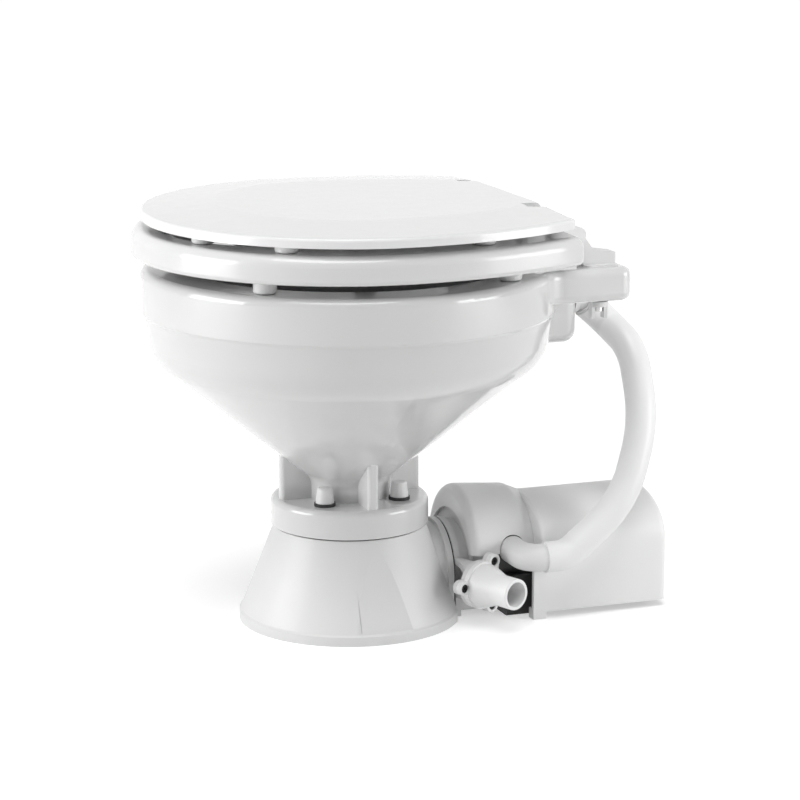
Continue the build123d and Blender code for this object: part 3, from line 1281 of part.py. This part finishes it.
def make_cover():
    body = along_y(cover_section(0), COVER_FRONT_Y, COVER_REAR_Y)
    rear_edges = body.edges().group_by(Axis.Y)[-1].filter_by(lambda edge: edge.center().Z > COVER_BOTTOM_Z)
    body = fillet(rear_edges, COVER_REAR_EDGE_R)
    front_edges = body.edges().group_by(Axis.Y)[0].filter_by(lambda edge: edge.center().Z > COVER_BOTTOM_Z)
    body = fillet(front_edges, COVER_FRONT_EDGE_R)
    body += bell(0)
    for side in (-1, 1):
        x0, x1 = lip_span(side, COVER_WALL)
        y0 = lip_front_y(side)
        body += box_between(x0, x1, y0, y0 + COVER_LIP_W, COVER_BOTTOM_Z, COVER_LIP_TOP_Z)
    body -= along_y(cover_section(COVER_WALL), COVER_FRONT_Y + COVER_WALL, COVER_REAR_Y - COVER_WALL)
    body -= bell(BELL_WALL)
    mouth = arch_section(BELL_MOUTH_R, BELL_MOUTH_Z, -OVER)
    body -= along_y(mouth, BELL_FRONT_Y - OVER, BELL_FRONT_Y + BELL_EDGE_R)
    gate_half = COVER_HALF_W - COVER_WALL
    between_walls = Pos(COVER_X, PUMP_Z) * Rectangle(2 * gate_half, 2 * COVER_TOP_Z)
    throat = arch_section(CHAMBER_R + BELL_WALL, PUMP_Z, -OVER) & between_walls
    throat_end_y = COVER_FRONT_Y + 2 * COVER_WALL
    body -= along_y(throat, COVER_FRONT_Y - OVER, throat_end_y)
    body -= box_between(COVER_X - gate_half, COVER_X + gate_half, COVER_FRONT_Y - OVER, throat_end_y,
                        -OVER, COVER_GATE_Z)
    for side in (-1, 1):
        notch = Pos(PUMP_PORT_Y, PUMP_PORT_Z) * Circle(HOSE_NOTCH_R)
        span = sorted((side * CHAMBER_R, side * (BELL_FRONT_R + OVER)))
        body -= along_x(notch, span[0], span[1])
        x0, x1 = lip_span(side, COVER_TOE_W)
        y0 = lip_front_y(side)
        body += box_between(x0, x1, y0, y0 + COVER_LIP_W, 0, COVER_BOTTOM_Z + COVER_WALL)
        hole = Pos(side * COVER_SCREW_X, COVER_SCREW_Z) * Circle(COVER_SCREW_R + SLIP)
        body -= along_y(hole, COVER_REAR_Y - 2 * COVER_WALL, COVER_REAR_Y + OVER)
    groove = Pos(GROMMET_X, GROMMET_Z) * Circle(GROMMET_R - GROMMET_GROOVE)
    return body - along_y(groove, COVER_REAR_Y - 2 * COVER_WALL, COVER_REAR_Y + OVER)


def make_cover_screws():
    screws = []
    for side in (-1, 1):
        place = Pos(side * COVER_SCREW_X, COVER_SCREW_Z)
        head = along_y(place * Circle(COVER_SCREW_HEAD_R), COVER_REAR_Y, COVER_REAR_Y + COVER_SCREW_HEAD_H)
        head = fillet(head.edges().group_by(Axis.Y)[-1], TINY_FILLET)
        head += along_y(place * Circle(COVER_SCREW_R - SLIP), COVER_REAR_Y - COVER_SCREW_L, COVER_REAR_Y)
        screws.append(head)
    return screws


def make_cable_grommet():
    wall_y = COVER_REAR_Y - COVER_WALL
    overhang = (GROMMET_T - COVER_WALL) / 2
    place = Pos(GROMMET_X, GROMMET_Z)
    body = along_y(place * Circle(GROMMET_R), wall_y - overhang, wall_y)
    body += along_y(place * Circle(GROMMET_R - GROMMET_GROOVE - SLIP), wall_y, COVER_REAR_Y)
    body += along_y(place * Circle(GROMMET_R), COVER_REAR_Y, COVER_REAR_Y + overhang)
    body -= along_y(place * Circle(GROMMET_BORE_R), wall_y - OVER, COVER_REAR_Y + OVER)
    return body


MAKERS = {
    "base_pedestal": make_pedestal,
    "waste_sump": make_waste_sump,
    "floor_bolt_inserts": make_floor_inserts,
    "bowl_gasket": make_bowl_gasket,
    "bowl": make_bowl,
    "bowl_bolts": make_bowl_bolts,
    "bowl_bolt_nuts": make_bowl_nuts,
    "bowl_bolt_washers": make_bowl_washers,
    "bowl_bolt_caps": make_bolt_caps,
    "seat_ring": make_seat,
    "seat_buffers": make_seat_buffers,
    "lid": make_lid,
    "lid_buffers": make_lid_buffers,
    "hinge_blocks": make_hinge_blocks,
    "hinge_pins": make_hinge_pins,
    "hinge_bolts": make_hinge_bolts,
    "hinge_washers": make_hinge_washers,
    "hinge_nuts": make_hinge_nuts,
    "bowl_inlet_elbow": make_inlet_elbow,
    "flush_hose": make_hose,
    "outlet_gasket": make_outlet_gasket,
    "macerator_housing": make_macerator_housing,
    "cutter_plate": make_cutter_plate,
    "cutter_blade": make_cutter_blade,
    "discharge_impeller": make_discharge_impeller,
    "discharge_port": make_discharge_port,
    "discharge_port_screws": make_port_screws,
    "joker_valve": make_joker_valve,
    "seal_plate": make_seal_plate,
    "shaft_seal": make_shaft_seal,
    "wear_plate": make_wear_plate,
    "flush_pump_housing": make_flush_pump_housing,
    "intake_impeller": make_intake_impeller,
    "pump_outlet_elbow": make_pump_elbow,
    "supply_spigot": make_supply_spigot,
    "pump_tie_screws": make_tie_screws,
    "motor_can": make_motor_can,
    "motor_end_cap": make_end_cap,
    "motor_shaft": make_shaft,
    "motor_armature": make_armature,
    "motor_bearings": make_bearings,
    "motor_magnets": make_magnets,
    "motor_brushes": make_brushes,
    "motor_brush_ring": make_brush_ring,
    "motor_bracket": make_motor_bracket,
    "motor_pads": make_motor_pads,
    "motor_cover": make_cover,
    "cover_screws": make_cover_screws,
    "cable_grommet": make_cable_grommet,
}


def main():
    os.makedirs("parts", exist_ok=True)
    for name, maker in MAKERS.items():
        shape = maker()
        if isinstance(shape, list):
            shape = Compound(children=shape)
        export_step(shape, f"parts/{name}.step")


main()
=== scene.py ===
import bmesh
import bpy
import json
from math import cos, radians, sin, sqrt
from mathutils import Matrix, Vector


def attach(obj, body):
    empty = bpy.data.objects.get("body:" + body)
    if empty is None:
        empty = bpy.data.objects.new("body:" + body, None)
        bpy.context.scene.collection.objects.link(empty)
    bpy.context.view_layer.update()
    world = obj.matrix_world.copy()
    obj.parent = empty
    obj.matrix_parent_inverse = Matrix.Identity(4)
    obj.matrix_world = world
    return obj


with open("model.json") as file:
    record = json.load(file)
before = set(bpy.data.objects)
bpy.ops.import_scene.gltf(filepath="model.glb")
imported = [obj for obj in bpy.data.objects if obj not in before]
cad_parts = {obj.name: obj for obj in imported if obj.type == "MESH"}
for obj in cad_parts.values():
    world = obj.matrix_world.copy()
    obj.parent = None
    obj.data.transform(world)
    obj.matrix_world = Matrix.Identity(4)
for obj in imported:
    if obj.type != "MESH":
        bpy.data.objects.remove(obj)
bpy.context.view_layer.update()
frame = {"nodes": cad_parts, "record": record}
NODES = frame["nodes"]
SLOTS = {entry["node"]: entry["material_slot"] for entry in frame["record"]["subparts"]}

# The photo's own view: about 70 degrees round to the right of the bowl's front and 12 degrees down.
CAMERA_PLACE = Vector((2.1982, -0.7593, 0.7012))
TOWARD_CAMERA = Vector((0.917, -0.336, 0.215))
CAMERA_LENS = 126.2
CAMERA_SENSOR = 36.0

# The floor and the lights: places and sizes in metres, angles in degrees and powers in watts.
WHITE = (1.0, 1.0, 1.0, 1.0)
OBJECT_MIDDLE = Vector((0.0, 0.05, 0.2))
FLOOR_HALF = 30.0
FLOOR_GREYS = (0.79, 0.81)
FLOOR_DRIFT_SCALE = 0.8
FLOOR_DRIFT_BAND = (0.3, 0.7)
FLOOR_ROUGHNESS = 0.9
FLOOR_SPECULAR = 0.2
FLOOR_LIFT = 0.45
WORLD_LIGHT = 0.11
WORLD_SEEN = 1.0
OVERHEAD_DIRECTION = (0.25, -0.15, 1.0)
OVERHEAD_STRENGTH = 1.85
OVERHEAD_ANGLE = 45
LEFT_BOX_PLACE = (-0.1, -2.0, 0.5)
LEFT_BOX_SIZE = 1.3
LEFT_BOX_POWER = 27.5
RIGHT_BOX_PLACE = (1.2, 1.7, 0.5)
RIGHT_BOX_SIZE = 1.1
RIGHT_BOX_POWER = 18.0

# The seam of the motor cover, in metres and degrees. The bell is round about the pump's axis, and the
# roof is half an ellipse that is set off it.
PUMP_Z = 0.050
ROOF_X = 0.012
ROOF_Z = 0.062
ROOF_HALF_W = 0.058
ROOF_H = 0.0365
SEAM_FRONT_Y = 0.1536
SEAM_CREST_Y = 0.15467
SEAM_TAIL_Y = 0.157
SEAM_REAR_Y = 0.158
SEAM_R = 0.0485
SEAM_TAIL_R = 0.0475
SEAM_FLOOR_R = 0.0465
SEAM_SINK = 0.0003
SEAM_T = 0.002
SEAM_START = -12.0
SEAM_END = 56.0
SEAM_STEPS = 48

# Textures: how fine each one is, per metre, and the part of the noise that it uses.
EVEN = (1.0, 1.0, 1.0)
SHADE_BAND = (0.35, 0.65)
LINE_BAND = (0.3, 0.7)
GLOSS_BAND = (0.3, 0.7)
DRIFT_DETAIL = 2.0
PLASTIC_DRIFT_SCALE = 9.0
PLASTIC_GLOSS_SCALE = 38.0
PLASTIC_GLOSS_DETAIL = 4.0
PLASTIC_GLOSS_ROUGHNESS = 0.6
PLASTIC_GRAIN_DETAIL = 5.0
PLASTIC_GRAIN_ROUGHNESS = 0.6
PLASTIC_COAT_ROUGHNESS = 0.12
GLAZE_GREYS = (0.69, 0.73)
GLAZE_ROUGHNESS = (0.10, 0.16)
GLAZE_DRIFT_SCALE = 6.0
GLAZE_GLOSS_SCALE = 55.0
GLAZE_GLOSS_DETAIL = 3.0
GLAZE_WAVE_SCALE = 14.0
GLAZE_WAVE_DEPTH = 0.0009
GLAZE_WAVE_STRENGTH = 0.35
GLAZE_COAT = 0.6
GLAZE_COAT_ROUGHNESS = 0.04
GLAZE_IOR = 1.52
ENAMEL_ROUGHNESS = (0.17, 0.25)
ENAMEL_DRIFT_SCALE = 5.0
ENAMEL_GLOSS_SCALE = 45.0
ENAMEL_GLOSS_DETAIL = 3.0
ENAMEL_PEEL_SCALE = 160.0
ENAMEL_PEEL_DETAIL = 2.0
ENAMEL_PEEL_DEPTH = 0.00012
ENAMEL_PEEL_STRENGTH = 0.5
ENAMEL_COAT = 0.5
ENAMEL_COAT_ROUGHNESS = 0.08
METAL_LINE_SCALE = 240.0
METAL_LINE_DETAIL = 4.0
METAL_LINE_ROUGHNESS = 0.65
METAL_LINE_DEPTH = 0.00006
METAL_LINE_STRENGTH = 0.5

# The moulded pieces: lowest and highest grey, lowest and highest roughness, and the grain of the mould.
PLASTICS = {
    "white_plastic": dict(greys=(0.76, 0.80), gloss=(0.40, 0.50), grain=700.0, depth=0.00005, coat=0.05),
    # cover_plastic is the white plastic set lighter, as painted light on the cover's lit side.
    "cover_plastic": dict(greys=(0.89, 0.92), gloss=(0.32, 0.44), grain=650.0, depth=0.00005, coat=0.12),
    "white_buffer": dict(greys=(0.74, 0.80), gloss=(0.45, 0.55), grain=500.0, depth=0.00008),
    "white_hose": dict(greys=(0.86, 0.90), gloss=(0.34, 0.46), grain=260.0, depth=0.0001, coat=0.1),
    "black_rubber": dict(greys=(0.018, 0.03), gloss=(0.62, 0.78), grain=420.0, depth=0.00015),
    "black_plastic": dict(greys=(0.015, 0.025), gloss=(0.42, 0.56), grain=520.0, depth=0.0001),
    "motor_paint": dict(greys=(0.015, 0.02), gloss=(0.35, 0.48), grain=300.0, depth=0.0001),
    "magnet_ferrite": dict(greys=(0.05, 0.08), gloss=(0.6, 0.8), grain=300.0, depth=0.0002),
    "brush_carbon": dict(greys=(0.02, 0.04), gloss=(0.5, 0.7), grain=300.0, depth=0.0001),
}

# The enamels: lowest and highest grey. Seat and lid are one enamel: the seat's greys are set lower as
# painted shade on its side, and the lid's lighter copy is painted light on its top.
ENAMELS = {
    "seat_enamel": (0.73, 0.76),
    "lid_enamel_painted_light": (0.86, 0.89),
}

# The metals have the same two ranges, and stretch is how many times finer their lines are along X, Y and Z.
METALS = {
    "stainless_steel": dict(greys=(0.50, 0.60), gloss=(0.22, 0.36), stretch=(1.0, 1.0, 6.0)),
    "dark_steel": dict(greys=(0.02, 0.035), gloss=(0.45, 0.6), stretch=EVEN, metallic=0.7),
    "brass": dict(greys=(0.48, 0.56), gloss=(0.25, 0.40), stretch=(1.0, 1.0, 5.0), warm=0.5),
    "armature_iron": dict(greys=(0.14, 0.24), gloss=(0.45, 0.65), stretch=(1.0, 20.0, 1.0), metallic=0.8,
                          warm=0.2),
}


def make_camera():
    data = bpy.data.cameras.new("photo_camera")
    data.lens = CAMERA_LENS
    data.sensor_width = CAMERA_SENSOR
    camera = bpy.data.objects.new("photo_camera", data)
    camera.location = CAMERA_PLACE
    camera.rotation_euler = (-TOWARD_CAMERA).to_track_quat("-Z", "Y").to_euler()
    bpy.context.collection.objects.link(camera)
    bpy.context.scene.camera = camera


def new_material(name):
    material = bpy.data.materials.new(name)
    material.use_nodes = True
    tree = material.node_tree
    shader = tree.nodes["Principled BSDF"]
    return material, tree, shader


def noise(tree, scale, detail, roughness=0.5, stretch=EVEN):
    """A noise texture in the object's own coordinates, in metres, finer along an axis with more stretch."""
    place = tree.nodes.new("ShaderNodeTexCoord")
    mapping = tree.nodes.new("ShaderNodeMapping")
    mapping.inputs["Scale"].default_value = stretch
    texture = tree.nodes.new("ShaderNodeTexNoise")
    texture.inputs["Scale"].default_value = scale
    texture.inputs["Detail"].default_value = detail
    texture.inputs["Roughness"].default_value = roughness
    tree.links.new(place.outputs["Object"], mapping.inputs["Vector"])
    tree.links.new(mapping.outputs["Vector"], texture.inputs["Vector"])
    return texture.outputs["Fac"]


def ramp(tree, source, band, colour_low, colour_high):
    node = tree.nodes.new("ShaderNodeValToRGB")
    node.color_ramp.elements[0].position = band[0]
    node.color_ramp.elements[1].position = band[1]
    node.color_ramp.elements[0].color = colour_low
    node.color_ramp.elements[1].color = colour_high
    tree.links.new(source, node.inputs["Fac"])
    return node.outputs["Color"]


def spread(tree, source, low, high):
    """Maps the middle of a texture's range onto low to high."""
    node = tree.nodes.new("ShaderNodeMapRange")
    node.inputs["From Min"].default_value = GLOSS_BAND[0]
    node.inputs["From Max"].default_value = GLOSS_BAND[1]
    node.inputs["To Min"].default_value = low
    node.inputs["To Max"].default_value = high
    tree.links.new(source, node.inputs["Value"])
    return node.outputs["Result"]


def bump(tree, shader, source, depth, strength=1.0):
    node = tree.nodes.new("ShaderNodeBump")
    node.inputs["Distance"].default_value = depth
    node.inputs["Strength"].default_value = strength
    tree.links.new(source, node.inputs["Height"])
    tree.links.new(node.outputs["Normal"], shader.inputs["Normal"])


def grey(value, warm=0.0):
    return (value, value, value * (1.0 - warm), 1.0)


def shade(tree, shader, source, band, greys, warm=0.0):
    """Lets the base colour run between two greys."""
    colour = ramp(tree, source, band, grey(greys[0], warm), grey(greys[1], warm))
    tree.links.new(colour, shader.inputs["Base Color"])


def moulded_plastic(name, greys, gloss, grain, depth, coat=0.0):
    """Moulded plastic: faint shade drift, uneven gloss and a fine moulded grain."""
    material, tree, shader = new_material(name)
    shade(tree, shader, noise(tree, PLASTIC_DRIFT_SCALE, DRIFT_DETAIL), SHADE_BAND, greys)
    patches = noise(tree, PLASTIC_GLOSS_SCALE, PLASTIC_GLOSS_DETAIL, PLASTIC_GLOSS_ROUGHNESS)
    tree.links.new(spread(tree, patches, *gloss), shader.inputs["Roughness"])
    bump(tree, shader, noise(tree, grain, PLASTIC_GRAIN_DETAIL, PLASTIC_GRAIN_ROUGHNESS), depth)
    shader.inputs["Coat Weight"].default_value = coat
    shader.inputs["Coat Roughness"].default_value = PLASTIC_COAT_ROUGHNESS
    return material


def glazed_ceramic(name):
    """White vitreous glaze: nearly mirror smooth, with the slow waviness of a fired body."""
    material, tree, shader = new_material(name)
    shade(tree, shader, noise(tree, GLAZE_DRIFT_SCALE, DRIFT_DETAIL), SHADE_BAND, GLAZE_GREYS)
    patches = noise(tree, GLAZE_GLOSS_SCALE, GLAZE_GLOSS_DETAIL)
    tree.links.new(spread(tree, patches, *GLAZE_ROUGHNESS), shader.inputs["Roughness"])
    bump(tree, shader, noise(tree, GLAZE_WAVE_SCALE, DRIFT_DETAIL), GLAZE_WAVE_DEPTH, GLAZE_WAVE_STRENGTH)
    shader.inputs["Coat Weight"].default_value = GLAZE_COAT
    shader.inputs["Coat Roughness"].default_value = GLAZE_COAT_ROUGHNESS
    shader.inputs["IOR"].default_value = GLAZE_IOR
    return material


def enamel(name, greys):
    """Baked white enamel on a moulded wood seat, with a faint orange peel."""
    material, tree, shader = new_material(name)
    shade(tree, shader, noise(tree, ENAMEL_DRIFT_SCALE, DRIFT_DETAIL), SHADE_BAND, greys)
    patches = noise(tree, ENAMEL_GLOSS_SCALE, ENAMEL_GLOSS_DETAIL)
    tree.links.new(spread(tree, patches, *ENAMEL_ROUGHNESS), shader.inputs["Roughness"])
    peel = noise(tree, ENAMEL_PEEL_SCALE, ENAMEL_PEEL_DETAIL)
    bump(tree, shader, peel, ENAMEL_PEEL_DEPTH, ENAMEL_PEEL_STRENGTH)
    shader.inputs["Coat Weight"].default_value = ENAMEL_COAT
    shader.inputs["Coat Roughness"].default_value = ENAMEL_COAT_ROUGHNESS
    return material


def metal(name, greys, gloss, stretch, metallic=1.0, warm=0.0):
    """Turned or brushed metal, with fine lines."""
    material, tree, shader = new_material(name)
    shader.inputs["Metallic"].default_value = metallic
    lines = noise(tree, METAL_LINE_SCALE, METAL_LINE_DETAIL, METAL_LINE_ROUGHNESS, stretch)
    shade(tree, shader, lines, LINE_BAND, greys, warm)
    tree.links.new(spread(tree, lines, *gloss), shader.inputs["Roughness"])
    bump(tree, shader, lines, METAL_LINE_DEPTH, METAL_LINE_STRENGTH)
    return material


def make_materials():
    finishes = {"bowl_ceramic": glazed_ceramic("bowl_ceramic")}
    for name, look in PLASTICS.items():
        finishes[name] = moulded_plastic(name, **look)
    for name, greys in ENAMELS.items():
        finishes[name] = enamel(name, greys)
    for name, look in METALS.items():
        finishes[name] = metal(name, **look)
    return finishes


def dress_nodes(finishes):
    """Every solid takes the finish of its slot, but the lid takes a lighter copy of the seat's enamel,
    which is painted light.
    """
    for name, node in NODES.items():
        # The lid's enamel is the seat's enamel painted lighter, as painted light on its top.
        finish = finishes["lid_enamel_painted_light" if name == "lid" else SLOTS[name]]
        if not node.data.materials:
            node.data.materials.append(finish)
        for place in node.material_slots:
            place.material = finish


def roof_radius(angle):
    """How far the cover's roof lies from the pump's axis, at an angle from upright towards the far side."""
    across = sin(angle)
    up = cos(angle)
    rise = PUMP_Z - ROOF_Z
    square = (across / ROOF_HALF_W) ** 2 + (up / ROOF_H) ** 2
    half_linear = across * ROOF_X / ROOF_HALF_W ** 2 + up * rise / ROOF_H ** 2
    constant = (ROOF_X / ROOF_HALF_W) ** 2 + (rise / ROOF_H) ** 2 - 1.0
    return (sqrt(half_linear ** 2 - square * constant) - half_linear) / square


def seam_profile(angle):
    """The strip's section at one angle, as places along the pump's axis and distances from it."""
    roof = min(roof_radius(angle), SEAM_R)
    return [
        (SEAM_FRONT_Y, SEAM_R),
        (SEAM_CREST_Y, SEAM_R),
        (SEAM_TAIL_Y, max(SEAM_TAIL_R, roof)),
        (SEAM_REAR_Y, roof - SEAM_SINK),
        (SEAM_REAR_Y, roof - SEAM_T),
        (SEAM_FRONT_Y, SEAM_FLOOR_R),
    ]


def make_seam_strip(finishes):
    """A thin strip that carries the bell's tail down onto the cover's roof, where the roof is lower."""
    mesh = bpy.data.meshes.new("cover_seam_strip")
    strip = bpy.data.objects.new("cover_seam_strip", mesh)
    bpy.context.collection.objects.link(strip)
    grid = bmesh.new()
    rings = []
    for step in range(SEAM_STEPS + 1):
        angle = radians(SEAM_START + (SEAM_END - SEAM_START) * step / SEAM_STEPS)
        rings.append([grid.verts.new((-radius * sin(angle), y, PUMP_Z + radius * cos(angle)))
                      for y, radius in seam_profile(angle)])
    for before, after in zip(rings, rings[1:]):
        for index in range(len(before)):
            follow = (index + 1) % len(before)
            grid.faces.new((before[index], after[index], after[follow], before[follow]))
    grid.faces.new(rings[0])
    grid.faces.new(list(reversed(rings[-1])))
    bmesh.ops.recalc_face_normals(grid, faces=grid.faces)
    grid.to_mesh(mesh)
    grid.free()
    mesh.materials.append(finishes[SLOTS["motor_cover"]])
    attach(strip, "toilet")


def seen_share(tree):
    """1 for rays that the camera sees, straight or by gloss or glass, and 0 for the light on the object."""
    path = tree.nodes.new("ShaderNodeLightPath")
    first = tree.nodes.new("ShaderNodeMath")
    first.operation = "MAXIMUM"
    second = tree.nodes.new("ShaderNodeMath")
    second.operation = "MAXIMUM"
    tree.links.new(path.outputs["Is Camera Ray"], first.inputs[0])
    tree.links.new(path.outputs["Is Glossy Ray"], first.inputs[1])
    tree.links.new(first.outputs["Value"], second.inputs[0])
    tree.links.new(path.outputs["Is Transmission Ray"], second.inputs[1])
    return second.outputs["Value"]


def make_floor():
    """A pale floor that lifts to white for the camera and keeps the object's soft shadow."""
    signs = [(-1, -1), (1, -1), (1, 1), (-1, 1)]
    corners = [(x * FLOOR_HALF, y * FLOOR_HALF, 0) for x, y in signs]
    mesh = bpy.data.meshes.new("studio_floor")
    mesh.from_pydata(corners, [], [(0, 1, 2, 3)])
    floor = bpy.data.objects.new("studio_floor", mesh)
    bpy.context.collection.objects.link(floor)
    material, tree, shader = new_material("studio_floor")
    drift = noise(tree, FLOOR_DRIFT_SCALE, DRIFT_DETAIL)
    shade(tree, shader, drift, FLOOR_DRIFT_BAND, FLOOR_GREYS)
    shader.inputs["Roughness"].default_value = FLOOR_ROUGHNESS
    shader.inputs["Specular IOR Level"].default_value = FLOOR_SPECULAR
    shader.inputs["Emission Color"].default_value = WHITE
    lift = tree.nodes.new("ShaderNodeMath")
    lift.operation = "MULTIPLY"
    lift.inputs[1].default_value = FLOOR_LIFT
    tree.links.new(seen_share(tree), lift.inputs[0])
    tree.links.new(lift.outputs["Value"], shader.inputs["Emission Strength"])
    mesh.materials.append(material)


def add_softbox(name, place, size, power):
    """A square area light that faces the middle of the object."""
    data = bpy.data.lights.new(name, "AREA")
    data.shape = "SQUARE"
    data.size = size
    data.energy = power
    light = bpy.data.objects.new(name, data)
    light.location = place
    light.rotation_euler = (OBJECT_MIDDLE - Vector(place)).to_track_quat("-Z", "Y").to_euler()
    bpy.context.collection.objects.link(light)


def add_overhead():
    """A wide even light from above, the same all over the floor."""
    data = bpy.data.lights.new("overhead", "SUN")
    data.energy = OVERHEAD_STRENGTH
    data.angle = radians(OVERHEAD_ANGLE)
    light = bpy.data.objects.new("overhead", data)
    light.rotation_euler = Vector(OVERHEAD_DIRECTION).to_track_quat("Z", "Y").to_euler()
    bpy.context.collection.objects.link(light)


def make_world():
    """White where it is seen or mirrored, and a faint even light on the object."""
    world = bpy.data.worlds.new("studio_world")
    bpy.context.scene.world = world
    world.use_nodes = True
    tree = world.node_tree
    background = tree.nodes["Background"]
    background.inputs["Color"].default_value = WHITE
    strength = tree.nodes.new("ShaderNodeMapRange")
    strength.inputs["To Min"].default_value = WORLD_LIGHT
    strength.inputs["To Max"].default_value = WORLD_SEEN
    tree.links.new(seen_share(tree), strength.inputs["Value"])
    tree.links.new(strength.outputs["Result"], background.inputs["Strength"])


def make_lights():
    add_overhead()
    add_softbox("left_softbox", LEFT_BOX_PLACE, LEFT_BOX_SIZE, LEFT_BOX_POWER)
    add_softbox("right_softbox", RIGHT_BOX_PLACE, RIGHT_BOX_SIZE, RIGHT_BOX_POWER)
    bpy.context.scene.view_settings.view_transform = "Standard"


make_camera()
finishes = make_materials()
dress_nodes(finishes)
make_seam_strip(finishes)
make_floor()
make_world()
make_lights()
